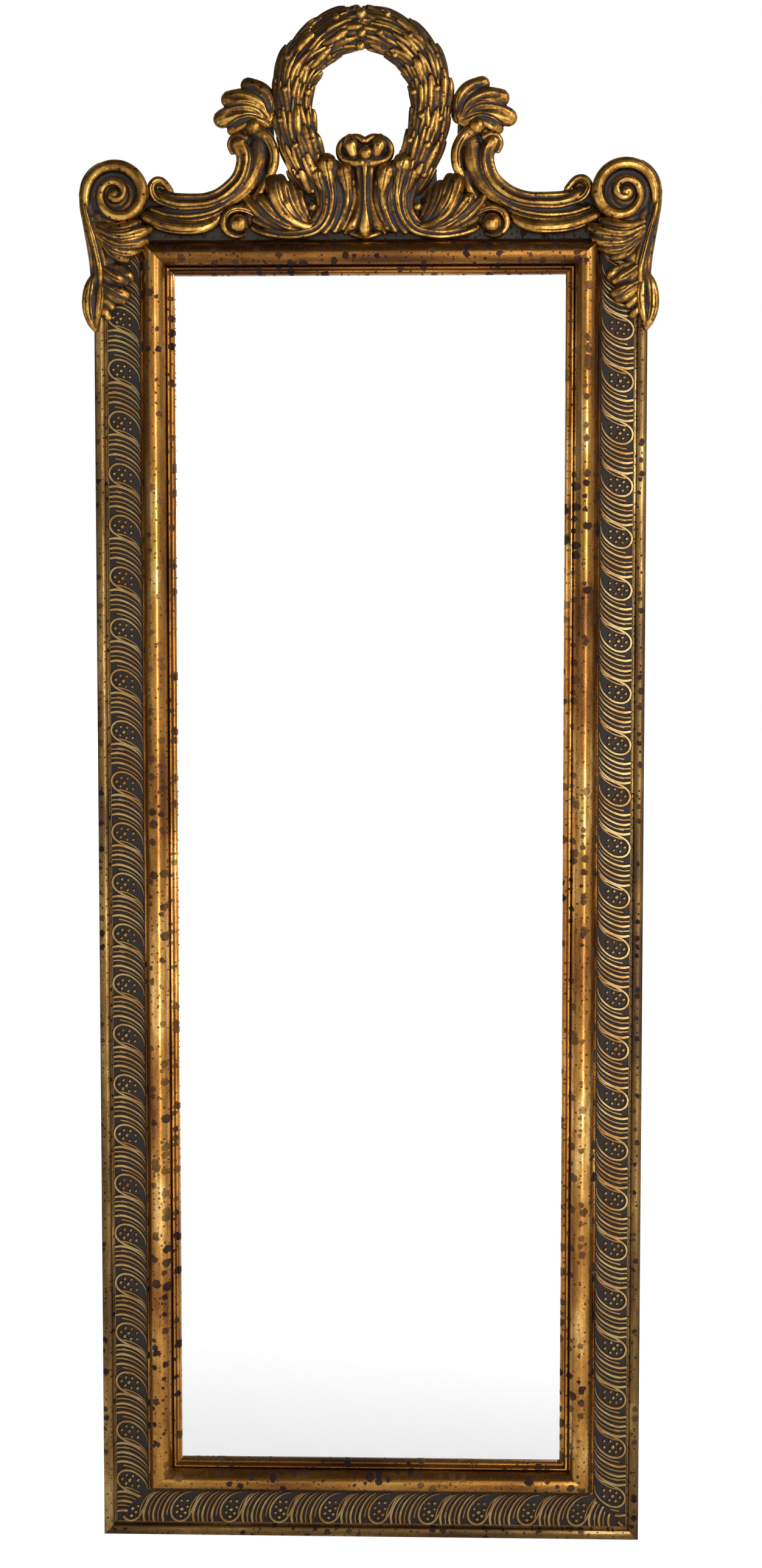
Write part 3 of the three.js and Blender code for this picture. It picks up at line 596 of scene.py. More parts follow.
# one gilt in a lit and a shaded copy: lighter on the uprights, a painted highlight, and darker across,
# painted shade
uprightGilt = makeMouldingGilt("uprightGilt", giltColours["upright"], 0.46, 0.0, 2)
acrossGilt = makeMouldingGilt("acrossGilt", giltColours["across"], 0.46, 0.0, 0, 0.3)
bandPatina = makeBandPatina()
uprightFrame = makeFrameGilt("uprightFrame", 2)
acrossFrame = makeFrameGilt("acrossFrame", 0)
uprightPine = makeWood("uprightPine", 2, woodColours["pine"])
acrossPine = makeWood("acrossPine", 0, woodColours["pine"])
plankWood = makeWood("plankWood", 2, woodColours["plank"], 0.7)
boardFinish = makeBoardFinish()
mirrorSilver = makeMirror()
screwSteel = makeMetal("screwSteel", (0.42, 0.41, 0.40), (0.13, 0.10, 0.08), 0.38)
hangerBrass = makeMetal("hangerBrass", (0.62, 0.43, 0.16), (0.20, 0.13, 0.06), 0.32)
ringSteel = makeMetal("ringSteel", (0.50, 0.49, 0.48), (0.20, 0.17, 0.15), 0.28)
print("finishes mixed")

# the wreath's right half runs from the top's middle down to the stem
wreath = {
    "grain": 0.85,
    "flatness": 0.72,
    "softness": 1,
    "faces": 190000,
    "shift": -4,  # mm that the wreath stands left of the clasp
    "arch": [[0, 204.8, 25.2, 9], [28, 198, 27, 9], [54, 183, 28, 9], [75, 160, 27.5, 9],
             [85, 134, 26, 9], [87, 108, 25, 9], [83, 76, 25, 9], [75, 48, 25, 8],
             [66, 24, 23, 3], [58, 4, 18, -6]],
    "core": 0.86,
    "depthShare": 0.73,
    "firstRow": 26,
    "rowGap": 34,
    "pastEnd": 0.6,  # rows go on past the arch's end by this share of a leaf
    "spread": 92,  # degrees round to each side of the front that leaves cover
    "leafLength": 50,
    "leafLengths": (0.8, 1.12),
    "leafMiddle": 20,
    "pastTop": 5,
    "shortest": 12,
    "stagger": 4,
    "sway": 5,  # degrees
    "leafSpacing": 5.6,
    "leafSpacings": (0.88, 1.12),
    "leafRadius": 3.2,
    "leafRadii": (0.75, 1.2),
    "broadShare": 0.12,
    "broadRadius": 1.75,
    "broadSpacing": 1.5,
    "berry": 4.6,
    "berrySizes": (0.85, 1.1),
    "berryReach": 1.02,
    "berrySway": 6,
    "berries": ((-38, 22), (16, 30)),  # degrees round, and how much further in every other row
    "strokes": [],
    "balls": [[-4, 216.8, 7.5, 25.5], [-3, 193, 6, 27.5], [-5, 178, 6, 23]],
    "cuts": [],
}
# share of the leaf from its base, its radius and how far it stands out of the wreath's skin
leafShape = ((0, 0.5, 0.82), (0.2, 0.8, 0.87), (0.5, 1.0, 0.93), (0.78, 0.88, 1.0),
             (0.96, 0.42, 1.05))


# a point on the wreath's skin: mm down from the top, degrees round, times radius
def wreathPoint(path, lengths, along, degrees, reach):
    along = min(max(along, 0), lengths[-1])
    out, up, radius, lift = (np.interp(along, lengths, path[:, k]) for k in range(4))
    ahead = [np.interp(along + 1, lengths, path[:, k]) - np.interp(along - 1, lengths, path[:, k])
             for k in range(2)]
    size = max(math.hypot(*ahead), 1e-6)
    acrossX, acrossZ = ahead[1] / size, -ahead[0] / size
    angle = math.radians(degrees)
    off, front = math.sin(angle) * radius * reach, math.cos(angle) * radius * reach
    return np.array([out + acrossX * off, -(lift + front * wreath["depthShare"]), up + acrossZ * off])


# one laurel leaf, its tip towards the top of the wreath
def laurelLeaf(path, lengths, start, degrees, length, thick):
    sway = random.uniform(-wreath["sway"], wreath["sway"])
    drift = random.uniform(-wreath["sway"], wreath["sway"])
    leaf = []
    for share, wide, high in leafShape:
        turned = degrees + sway * math.sin(share * math.tau * 0.8) + drift * share
        spot = wreathPoint(path, lengths, start - length * share, turned, high)
        leaf.append([*spot, wide * thick])
    return flow(leaf, 4)


# a row of leaves round the right half and the berries on it; `odd` rows are turned a little
def wreathRow(path, lengths, station, odd):
    row = []
    middle = min(max(station - wreath["leafMiddle"], 0), lengths[-1])
    step = math.degrees(wreath["leafSpacing"] / np.interp(middle, lengths, path[:, 2]))
    degrees = -wreath["spread"] + odd * step / 2
    while degrees < wreath["spread"]:
        broad = random.random() < wreath["broadShare"]
        length = wreath["leafLength"] * random.uniform(*wreath["leafLengths"])
        length = min(length, station + wreath["pastTop"])
        start = station + random.uniform(-wreath["stagger"], wreath["stagger"])
        thick = wreath["broadRadius"] if broad else random.uniform(*wreath["leafRadii"])
        if length > wreath["shortest"]:
            row.append(laurelLeaf(path, lengths, start, degrees, length, wreath["leafRadius"] * thick))
        room = wreath["broadSpacing"] if broad else 1
        degrees += step * room * random.uniform(*wreath["leafSpacings"])
    for turn, further in wreath["berries"]:
        degrees = turn + further * odd + random.uniform(-wreath["berrySway"], wreath["berrySway"])
        spot = wreathPoint(path, lengths, station + 1, degrees, wreath["berryReach"])
        row.append(ballLine(*spot, wreath["berry"] * random.uniform(*wreath["berrySizes"])))
    return row


def makeWreath():
    half = flow(wreath["arch"], 12)
    lengths = np.concatenate([[0], np.cumsum(np.hypot(*np.diff(half[:, :2], axis=0).T))])
    whole = np.vstack([half[:0:-1] * [-1, 1, 1, 1], half])
    core = np.column_stack([whole[:, 0], -whole[:, 3], whole[:, 1], whole[:, 2] * wreath["core"]])
    lines = [rounded(core)]
    lastRow = lengths[-1] + wreath["leafLength"] * wreath["pastEnd"]
    for side in (1, -1):
        for row, station in enumerate(np.arange(wreath["firstRow"], lastRow, wreath["rowGap"])):
            lines += [line * [side, 1, 1, 1] for line in wreathRow(half, lengths, station, row % 2)]
    for line in lines:
        line[:, 0] += wreath["shift"]
    carve("laurelWreath", wreath, 1, "wreath", crestSpot, extraLines=lines)


makeWreath()
print("wreath carved")


# strokes or cuts that are drawn for the right side, with the same on the left
def mirrored(strokes):
    return strokes + [[[-out, *rest] for out, *rest in stroke] for stroke in strokes]


# the clasp's heart and bell are alike on both sides, so their right half is drawn
clasp = {
    "grain": 0.75,
    "flatness": 0.95,
    "faces": 60000,
    "half": [
        [[2, 63, 5, 13], [9, 67, 4.6, 12], [17, 67, 4.4, 11], [25.5, 64, 4.4, 10], [31.5, 57, 4.4, 10],
         [32.5, 48, 4.6, 10], [27, 40, 6, 10], [15, 36, 7, 11], [3, 36, 8, 12]],
        [[19, 65, 6.5, 13], [18, 57, 9.5, 15], [15, 48, 8, 14]],
        [[8, 31, 5.5, 10], [7, 10, 5, 9.5], [6.5, -10, 5, 9.5], [10, -28, 6.5, 9.5],
         [16, -42, 7.5, 9], [22, -48, 5, 6]],
        [[24, -47, 3.5, 5], [14, -53, 4, 7], [0, -57, 4.2, 8.5]],
        [[4, 20, 5, 6], [6, -20, 6, 6], [12, -42, 8, 4]],
        [[24, 54, 9, 2], [0, 50, 12, 3]],
        [[14, 33, 8, 1], [14, 20, 9, 1], [14, 4, 9, 1]],
        [[20, 58, 9, 2], [10, 58, 9, 3], [0, 56, 8, 3]],
    ],
    "middle": [
        [[0, 34, 6, 13], [0, 14, 5, 14], [0, -8, 4.6, 13.5], [0, -28, 6.5, 13], [0, -44, 9, 11],
         [0, -52, 8, 8]],
    ],
    "balls": [[1.5, 46.5, 9.5, 17]],
    "halfCuts": [[2.0, -1.5, [[4, 28], [3.4, 8], [3.2, -10], [5.5, -30], [9.5, -48]]]],
}
clasp["strokes"] = clasp["middle"] + mirrored(clasp["half"])
clasp["cuts"] = [[width, depth, *mirrored(drawn)] for width, depth, *drawn in clasp["halfCuts"]]
carve("heartClasp", clasp, 1, "clasp", crestSpot)
print("clasp carved")

acanthusInner = {
    "grain": 0.75,
    "swell": 1.14,
    "flatness": 0.9,
    "faces": 60000,
    "strokes": [
        [[48, 34, 11.5, 18], [46, 23, 9.5, 18], [43, 10, 7, 17], [41, -8, 5, 15], [45, -27, 4.6, 13],
         [53, -42, 4.2, 11], [66, -51, 4.2, 9.5], [91, -55.5, 4.2, 8], [115, -54, 4, 7],
         [134, -49, 3.8, 5.5], [143, -44, 3.2, 4]],
        [[59, 21, 7, 16], [56, 11, 7, 15], [50, -4, 5, 13.5], [49, -14, 4.5, 13], [52, -27, 4.2, 12],
         [60.6, -41, 4.2, 10], [76, -48, 4.2, 8.5], [101, -50.5, 4, 7], [126, -46, 3.4, 5]],
        [[38, 31, 7.5, 13], [36, 18, 6, 14], [33, -6, 4.6, 13], [35, -21, 4.2, 12],
         [42, -38, 4.2, 10], [51, -50, 4, 8]],
        [[26.5, 24, 9.5, 18], [24, 12, 8.2, 18], [21.5, 0, 5.6, 15.5], [22.5, -14, 4.6, 13.5],
         [30, -33, 4.4, 11], [38, -48, 4.2, 8]],
        [[17, 9, 5.5, 12], [14.5, -10, 4.2, 11.5], [20, -29, 4, 10], [28, -45, 4, 8]],
        [[61, 6, 5, 8], [58, -8, 4.6, 9.5], [57, -22, 4.2, 9.5], [64, -35, 4, 8], [73, -42, 3.4, 6]],
        [[13, -22, 3.6, 7], [17, -38, 3.8, 6.5], [24, -50, 3.6, 5]],
        [[49, 16, 13, 7], [47, -14, 12, 6], [56, -40, 9.5, 5], [90, -50, 6.5, 4], [125, -48, 5, 2]],
        [[29, 14, 12, 7], [28, -26, 10, 6], [34, -43, 8, 4]],
    ],
    "balls": [[47.5, 32, 12.5, 20], [37.5, 27, 8.5, 19], [28, 23, 10.5, 19.5], [59, 20, 9, 17],
              [18, 10, 7, 15], [55, 32, 8.5, 17]],
    "cuts": [
        [1.9, -1.4,
         [[50, 12], [45.5, -8], [48, -28], [57, -43], [72, -51], [100, -53.5], [130, -48]],
         [[39, 10], [37, -10], [40, -28], [47, -44]],
         [[30, 8], [28.5, -4], [28, -16], [34, -36], [42, -49]],
         [[19, 2], [18, -8], [19, -20], [25, -38]],
         [[57, 4], [54, -10], [56, -26], [66, -42], [88, -48]]],
        [1.6, -0.9, [[50, 38], [47, 26], [44.5, 12], [41.5, -8]], [[28, 28], [25, 14], [22.5, 0]],
         [[60, 24], [57, 12], [52, -4]]],
    ],
}
acanthusOuter = {
    "grain": 0.75,
    "swell": 1.16,
    "flatness": 0.85,
    "faces": 52000,
    "strokes": [
        [[118, 16, 7.5, 9], [115, 6, 9.5, 13], [111, -8, 9.2, 15.5], [103, -27, 7, 14],
         [86, -40, 5.5, 11], [68, -44, 4, 8]],
        [[107, 16, 6, 9], [103, 4, 7.5, 12], [95, -15, 6.6, 12.5], [83, -32, 5, 10], [72, -41, 4, 7]],
        [[95, 8, 5.6, 8], [91, -4, 6.4, 10], [85, -21, 5.6, 10.5], [76, -35, 4.2, 8]],
        [[84, -1, 4.8, 7], [81, -13, 5.2, 8.5], [75, -28, 4.4, 7.5]],
        [[77, -11, 4, 5], [75, -23, 4, 6], [71, -34, 3.4, 5]],
        [[133, -7, 6.6, 8], [127, -14, 8, 11], [117, -28, 7.4, 12], [101, -41, 6, 10],
         [83, -47, 4.4, 7]],
        [[149, -8, 5.2, 6], [142, -17, 6.4, 8.5], [130, -30, 6.4, 9.5], [113, -41, 5, 8.5],
         [93, -47, 4, 6]],
        [[140, -34, 4.6, 6], [127, -40, 4.8, 7], [109, -46, 4, 6]],
        [[107, -8, 14, 7], [100, -22, 15, 7], [82, -38, 8, 4]],
        [[134, -18, 10, 6], [120, -30, 11, 6], [100, -42, 7, 4]],
    ],
    "balls": [[66.5, -19, 5.5, 9], [141, -10, 4.5, 8]],
    "cuts": [
        [2.0, -1.1, [[112, 14], [108, -4], [100, -22], [86, -36]],
         [[99, 8], [95, -10], [86, -28], [77, -38]],
         [[125, -2], [118, -18], [107, -33], [90, -43]],
         [[139, -12], [126, -27], [110, -39], [92, -46]]],
        [3.4, -0.8, [[118, 14], [114, -2], [107, -20], [94, -35]],
         [[133, -7], [123, -21], [109, -36]], [[149, -8], [136, -24], [120, -37]]],
    ],
}
plume = {
    "grain": 0.75,
    "swell": 1.06,
    "flatness": 0.72,
    "faces": 46000,
    "strokes": [
        [[117, 90, 6, 8], [121, 110, 10.5, 10], [131, 124, 11.5, 11], [147, 132.5, 10, 8.5]],
        [[121, 88, 6, 9], [131, 104, 11.5, 12], [150, 114, 13.5, 13], [170, 115, 11.5, 9.5]],
        [[124, 86, 6, 9], [143, 98, 10.5, 13], [162, 98, 12.5, 12.5], [180, 91.5, 11.5, 8.5]],
        [[127, 85, 6, 9], [144, 90, 8.5, 11], [157, 85, 9, 10.5], [167, 78, 7.6, 8]],
        [[130, 80, 6, 7], [142, 80, 7, 8], [151, 75, 6, 7]],
        [[122, 96, 13, 7], [138, 108, 18, 8], [160, 102, 18, 7]],
    ],
    "balls": [],
    "cuts": [
        [1.9, -1.4, [[119, 92], [126, 110], [140, 122], [158, 126]],
         [[122, 90], [136, 102], [154, 107], [180, 104]],
         [[125, 88], [143, 93.5], [158, 91], [174, 83]]],
        [6.4, -1.6, [[118, 96], [123, 112], [134, 125], [149, 132]],
         [[123, 94], [134, 106], [152, 115], [171, 115.5]],
         [[129, 93], [146, 99], [162, 99], [180, 92]],
         [[134, 88], [146, 90], [158, 85], [166, 79]]],
        [1.2, -0.6, [[116, 100], [117, 114], [124, 128]], [[128, 99], [143, 109], [162, 110]],
         [[136, 96], [152, 99], [170, 99]], [[117, 84], [113, 100], [113, 114]]],
    ],
}
boss = {
    "grain": 0.75,
    "flatness": 0.95,
    "faces": 24000,
    "strokes": [
        [[134, -33, 3.2, 4], [142, -27, 4, 6], [151, -22.5, 4.4, 8], [162, -21, 4.6, 9.5],
         [172, -24.5, 4.6, 10], [178.5, -33, 4.6, 10], [179, -44, 4.4, 9], [172.5, -52, 4.2, 8],
         [163, -55, 4, 6], [154, -52, 3.4, 4]],
        [[174, -40, 8, 2], [162, -38, 15, -2], [150, -34, 9, 1]],
    ],
    "balls": [[160.5, -40, 13.2, 8]],
    "cuts": [[1.4, -0.9, [[138, -30], [150, -24], [162, -22], [172, -26], [177, -36]]]],
}

# outward of the root the drawn scrolls stretch to reach the ear
scrollFit = {"root": 175, "drawnEnd": 278, "tuck": 7, "drawnDrop": 64}
dropShare = (railHigh.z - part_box("torus_top")[1].z) / mm / scrollFit["drawnDrop"]


def fitTo(side):
    end = (earX - earRadius - side * crestX) / mm + scrollFit["tuck"]
    stretch = (end - scrollFit["root"]) / (scrollFit["drawnEnd"] - scrollFit["root"])

    def fitted(stroke):
        found = []
        for out, up, *rest in stroke:
            if out > scrollFit["root"]:
                out = scrollFit["root"] + (out - scrollFit["root"]) * stretch
            found.append([out, up * dropShare if up < 0 else up, *rest])
        return found

    return fitted


cScroll = {
    "grain": 0.75,
    "flatness": 0.85,
    "faces": 76000,
    "strokes": [
        [[160, 60, 11.5, 9], [153.5, 47, 10.2, 10], [154, 32, 10.2, 10.5], [159.5, 17, 10.4, 10.5],
         [170, 5.5, 10.4, 10.5], [184, -5, 10.4, 10.5], [200, -11, 10.6, 10], [215, -12.5, 11, 9.5],
         [237, -12, 11.2, 9], [254, -7.5, 9.5, 8], [264, -2, 6, 6]],
        [[168, 50, 3.6, 9], [171, 58, 4, 10], [168, 66, 4.4, 11], [160, 70, 4.6, 12],
         [151, 67, 4.6, 12]],
        [[246, -16, 4, 10], [262, -10, 4.6, 11], [269.5, -1.5, 4.8, 11.5], [270.5, 8, 4.8, 11],
         [265, 15, 4.6, 10.5], [257.5, 15, 4.4, 10], [251.5, 9.5, 4.4, 10], [246, 2, 4, 10]],
        [[271, -21, 2.8, 9], [252, -28, 3, 9.5], [228, -30.5, 3, 10], [208, -28.5, 3, 10],
         [191, -23.5, 3, 10], [175, -14.5, 3, 10], [158.5, -2, 3, 10], [147, 11, 3, 10],
         [140.5, 27, 3, 10], [138, 42, 3, 10], [141, 58, 3, 9]],
        [[268, -28, 2.4, 7], [247, -34.5, 2.6, 8], [227, -36.5, 2.6, 8], [208, -34.5, 2.6, 8],
         [191, -29, 2.4, 7], [178, -22, 2.2, 6]],
        [[140, 79, 11.5, 8], [131, 73, 9, 10], [121.5, 64, 7.4, 11], [115.5, 52, 6.6, 12],
         [114.5, 40, 6.4, 12], [116.5, 29, 6.2, 11.5], [121.5, 20, 5.6, 10]],
        [[126, 22, 5, 6], [129, 8, 5.6, 7.5], [137, -7, 5.4, 7.5], [149, -19, 4.4, 6]],
        [[130.5, 62, 2.6, 7.5], [129.5, 48, 2.6, 7.5], [131, 33, 2.6, 7.5], [138, 14, 2.6, 7.5],
         [149.5, -1, 2.6, 7.5], [166, -14, 2.4, 7]],
        [[272, -24, 8, 1], [238, -26, 10, 2], [204, -22, 11, 2], [174, -9, 12, 3], [152, 8, 13, 3],
         [138, 32, 13, 3], [134, 62, 12, 3]],
    ],
    "balls": [[141, 80.5, 11.5, 11], [261.5, 5, 11, -4], [146, 65, 9, 0]],
    "cuts": [
        [6.2, -3.4, [[161, 58], [156.5, 46], [157, 32], [162, 18.5], [172, 8], [185, -2.2], [200, -8],
                     [215, -9.5], [237, -9], [256, -3]]],
        [1.7, -1.7, [[152, 62], [146.5, 48], [147, 32], [152.5, 15], [164, 0], [180, -11.5],
                     [198, -18], [216, -20], [240, -19.5], [262, -10], [269, 4], [263, 13], [256, 12]]],
        [1.6, -1.2, [[126, 68], [119, 54], [117.5, 40], [119.5, 28]]],
        [3.2, -2.6, [[262, 7], [259, 4], [254, 2]]],
    ],
}
longScroll = {
    "grain": 0.75,
    "flatness": 0.85,
    "faces": 30000,
    "strokes": [
        [[278, -32, 8, 8], [262, -40, 9.2, 9.5], [243, -45, 9.6, 9.5], [224, -46.5, 9.6, 9.5],
         [208, -45.5, 9, 9], [194, -40, 7.4, 7.5], [186.5, -32, 5.6, 5]],
    ],
    "balls": [],
    "cuts": [[2.0, -1.4, [[274, -28], [256, -35.5], [234, -39.5], [212, -39.5], [196, -34]]],
             [1.4, -0.7, [[270, -42], [250, -49.5], [226, -52], [208, -50]]]],
}

# The ear's roll by [degrees from its outer side, radius, thickness, lift], turning inwards.
ear = {
    "grain": 0.75,
    "flatness": 0.9,
    "faces": 76000,
    "roll": [[-34, 40.5, 3, 9], [-12, 37.5, 5, 11], [12, 36, 6.4, 12], [45, 35.8, 7.4, 12.5],
             [90, 35.2, 8, 13], [135, 35.2, 8.2, 13.5], [180, 35, 8.2, 14], [225, 32.4, 7.6, 14],
             [270, 27, 6.6, 14], [315, 21.2, 5.8, 14.5], [360, 17.4, 5.3, 15.5], [405, 15.8, 5.2, 17],
             [450, 14.8, 5.2, 18], [495, 13.6, 5.2, 19], [540, 11.8, 5, 19.5], [590, 9, 4.8, 20],
             [640, 6.5, 4.8, 20], [720, 3, 5, 19]],
    "rollCentre": [-1.5, 1.5],
    "bed": [6, 13, 20, 27, 34],  # rings that fill the roll's ground
    "bedStroke": (6, 5),
    "rims": [[62, 43.2, 1.8, 9], [30, 43.6, 2, 10], [0, 43.2, 2.2, 10], [-25, 44, 2.2, 10]],
    "strokes": [
        [[42, 3, 2.6, 9], [40, -20, 2.9, 10], [35, -40, 3.1, 10], [31.5, -60, 3.2, 10],
         [28.5, -80, 3.2, 10], [27, -96, 3.2, 9.5], [29, -112, 3, 9], [33, -126, 2.6, 8]],
        [[38, -8, 3.4, 11], [34.5, -26, 3.8, 12.5], [29.5, -44, 4, 13], [25, -62, 4, 13],
         [20.5, -80, 4, 13], [17.5, -96, 4, 12.5], [18, -110, 4, 11]],
        [[36, -26, 3.8, 9], [31, -46, 3.8, 10], [26.5, -66, 3.8, 10], [23, -86, 4, 10.5],
         [22, -104, 4.2, 10]],
        [[29, -28, 4.2, 10], [23, -46, 4.4, 10], [18, -64, 4.2, 10], [13.5, -82, 4, 9],
         [11.5, -96, 3.4, 8]],
        [[34, -4, 10, 3], [32, -26, 10, 4], [28, -52, 9.5, 5], [24, -80, 9, 5], [22, -106, 9, 4]],
        [[22, -24, 9, 4], [17, -44, 9, 4], [13, -66, 8, 4], [12, -88, 7, 3]],
        [[23, -98, 5, 9], [30, -112, 7.5, 10], [33.5, -128, 7.8, 11.5], [33.5, -144, 7.2, 11],
         [30, -158, 5.6, 9], [26, -166, 4, 5]],
        [[21, -104, 5, 8], [18.5, -118, 6.6, 10], [19.5, -134, 7, 10.5], [22, -148, 6.4, 10],
         [25, -162, 4.6, 6]],
        [[27, -106, 4, 10], [27, -122, 4.4, 11], [27.5, -140, 4.4, 11], [27.5, -156, 3.6, 9]],
        [[27, -120, 9, 3], [27, -140, 10, 3], [27, -154, 7, 2]],
    ],
    "balls": [[-1.5, 1, 6.5, 19]],
    "cuts": [
        [1.7, -1.3, [[25, -108], [24, -124], [24.5, -142], [26, -158]],
         [[28.5, -106], [30.5, -122], [30.5, -142], [28.5, -158]]],
        [1.4, -0.8, [[33, -114], [36.5, -130], [36, -146], [31, -160]],
         [[17, -112], [15.5, -128], [18, -146]], [[36, -30], [30, -52], [25, -74], [21, -94]],
         [[31, -36], [25.5, -54], [21, -72], [17, -90]]],
    ],
}
earLeaf = {
    "grain": 0.75,
    "swell": 1.2,
    "flatness": 0.8,
    "faces": 52000,
    "strokes": [
        [[22, -36, 5, 8], [6, -42, 7, 11], [-10, -42, 7.5, 13], [-24, -37, 6.5, 12],
         [-30, -34, 4.5, 9]],
        [[20, -42, 6, 9], [4, -50, 8, 13], [-14, -52, 9, 15], [-32, -47, 8, 13], [-44, -43, 5, 9]],
        [[20, -48, 6, 9], [4, -57, 8, 13], [-12, -60, 8.6, 14], [-28, -59, 7.6, 12], [-39, -57, 5, 8]],
        [[18, -54, 6, 8], [4, -64, 7.4, 12], [-8, -68, 7.6, 12], [-22, -69, 6.6, 10],
         [-31, -67, 4.6, 7]],
        [[16, -58, 5.6, 7], [4, -69, 6.6, 10], [-6, -75, 6.4, 10], [-14, -78, 5.4, 7]],
        [[15, -62, 5, 6], [8, -72, 5, 7], [2, -77, 4.4, 6]],
        [[16, -82, 4, 6], [4, -88, 4.4, 7], [-8, -93, 4.4, 8], [-18, -99, 5, 8], [-21, -103, 4, 6]],
        [[17, -88, 5, 7], [6, -97, 6, 9], [-4, -103, 6.4, 10], [-13, -108, 5, 7]],
        [[16, -94, 5, 7], [8, -103, 5.6, 9], [1, -109, 4.8, 7]],
        [[19, -108, 4.6, 7], [8, -115, 6, 9], [-4, -120, 7, 10], [-14, -124, 5.6, 8]],
        [[18, -114, 4.6, 7], [8, -122, 6, 9], [-2, -128, 6, 9], [-10, -131, 4.6, 7]],
        [[18, -124, 5, 7], [10, -132, 5.6, 8], [4, -138, 4.6, 7]],
        [[20, -136, 4.6, 6], [13, -145, 5, 7], [8, -151, 4, 5]],
        [[12, -48, 9, 5], [-14, -54, 12, 5], [-28, -52, 8, 5]],
        [[12, -60, 9, 4], [0, -66, 9, 5], [12, -90, 7, 4], [2, -98, 8, 4], [12, -112, 7, 4],
         [4, -120, 7, 4], [15, -136, 6, 3]],
    ],
    "balls": [],
    "cuts": [
        [1.8, -1.0, [[20, -39], [4, -46], [-12, -47], [-28, -42]],
         [[19, -45], [4, -54], [-12, -56], [-36, -52]], [[18, -51], [4, -61], [-12, -65], [-32, -63]],
         [[16, -56], [4, -67], [-8, -73], [-22, -74]], [[15, -60], [6, -71], [-2, -78]],
         [[16, -91], [4, -100], [-8, -107]], [[17, -111], [4, -119], [-8, -127]]],
        [3.2, -0.6, [[2, -50], [-14, -52], [-32, -47], [-43, -43]],
         [[2, -57], [-12, -60], [-28, -59], [-38, -57]], [[-4, -68], [-20, -69]],
         [[0, -117], [-12, -123]], [[-2, -90], [-16, -97]]],
    ],
}


# points round the roll's centre, as a stroke
def turned(stations, perSpan):
    outMiddle, upMiddle = ear["rollCentre"]
    found = []
    for degrees, radius, thick, lift in flow(stations, perSpan):
        angle = math.radians(degrees)
        found.append([outMiddle + radius * math.cos(angle), upMiddle + radius * math.sin(angle),
                      thick, lift])
    return found


def makeEar(side, word):
    turns = onGround([turned(ear["roll"], 8), turned(ear["rims"], 5)], side, 1)
    for reach in ear["bed"]:
        ring = [[degrees, reach, *ear["bedStroke"]] for degrees in range(0, 361, 30)]
        turns += onGround([turned(ring, 2)], side, 1)
    spot = (side * earX, earHigh.y, earZ)
    carve("earVolute" + word, ear, side, "ear_volute_" + word.lower(), spot, extraLines=turns)
    carve("earLeaf" + word, earLeaf, side, "ear_leaf_" + word.lower(), spot)


for side, word in ((1, "Right"), (-1, "Left")):
    for name, pattern, stands, fitted in (("acanthusInner", acanthusInner, "acanthus_inner_", list),
                                          ("acanthusOuter", acanthusOuter, "acanthus_outer_", list),
                                          ("plume", plume, "plume_", list),
                                          ("boss", boss, "boss_", list),
                                          ("cScroll", cScroll, "c_scroll_", fitTo(side)),
                                          ("longScroll", longScroll, "long_scroll_", fitTo(side))):
        carve(name + word, pattern, side, stands + word.lower(), crestSpot, fitted)
    makeEar(side, word)
print("crest and ears carved")

# Rails run clockwise as seen from the front. A section is [from outer edge, from wall] in mm.
tall, wide = topZ - bottomZ, 2 * halfWidth
rails = {
    "right": {"start": (halfWidth, topZ), "across": (-1, 0), "along": (0, -1), "run": tall},
    "bottom": {"start": (halfWidth, bottomZ), "across": (0, 1), "along": (-1, 0), "run": wide},
    "left": {"start": (-halfWidth, bottomZ), "across": (1, 0), "along": (0, 1), "run": tall},
    "top": {"start": (-halfWidth, topZ), "across": (0, -1), "along": (1, 0), "run": wide},
}
seat = 26.3  # just in front of the frame's face
moulding = {
    "step": 24 * mm,  # between the rings of points along a length
    "mitreGap": 0.15 * mm,
    "waveSize": 0.09,  # metres between swells of the hand-rubbed surface
    "smoothUnder": 42,  # degrees
}
torus = {
    "bead": [[59.0, seat], [59.0, 29.4], [59.4, 30.4], [60.2, 30.8], [61.0, 30.5], [61.7, 29.8]],
    "centre": 77.5,
    "half": 15.2,
    "foot": 33,
    "rise": 19,
    "arcs": 30,
    "waves": 0.0006,
}
slip = {
    "section": [[93.3, seat], [93.3, 36.6], [94.0, 37.6], [95.1, 38.0], [96.2, 37.6], [96.9, 36.6],
                [97.2, 34.4], [98.0, 32.9], [99.4, 32.0], [100.2, 31.9], [100.6, 32.9],
                [101.5, 33.3], [102.5, 32.9], [103.1, 31.8], [103.4, 30.4], [103.5, seat]],
    "waves": 0.0003,
}


# cuts both ends at their mitres, or the end number `squareEnd[0]` square at `squareEnd[1]`
def mitre(piece, run, squareEnd=None):
    gap = moulding["mitreGap"]
    cuts = [((0, gap, 0), (1, -1, 0)), ((0, run - gap, 0), (1, 1, 0))]
    if squareEnd:
        end, station = squareEnd
        cuts[end] = ((0, station, 0), (0, (-1, 1)[end], 0))
    choose(piece)
    bpy.ops.object.mode_set(mode="EDIT")
    for spot, normal in cuts:
        bpy.ops.mesh.select_all(action="SELECT")
        bpy.ops.mesh.bisect(plane_co=spot, plane_no=normal, use_fill=True, clear_outer=True)
    bpy.ops.object.mode_set(mode="OBJECT")


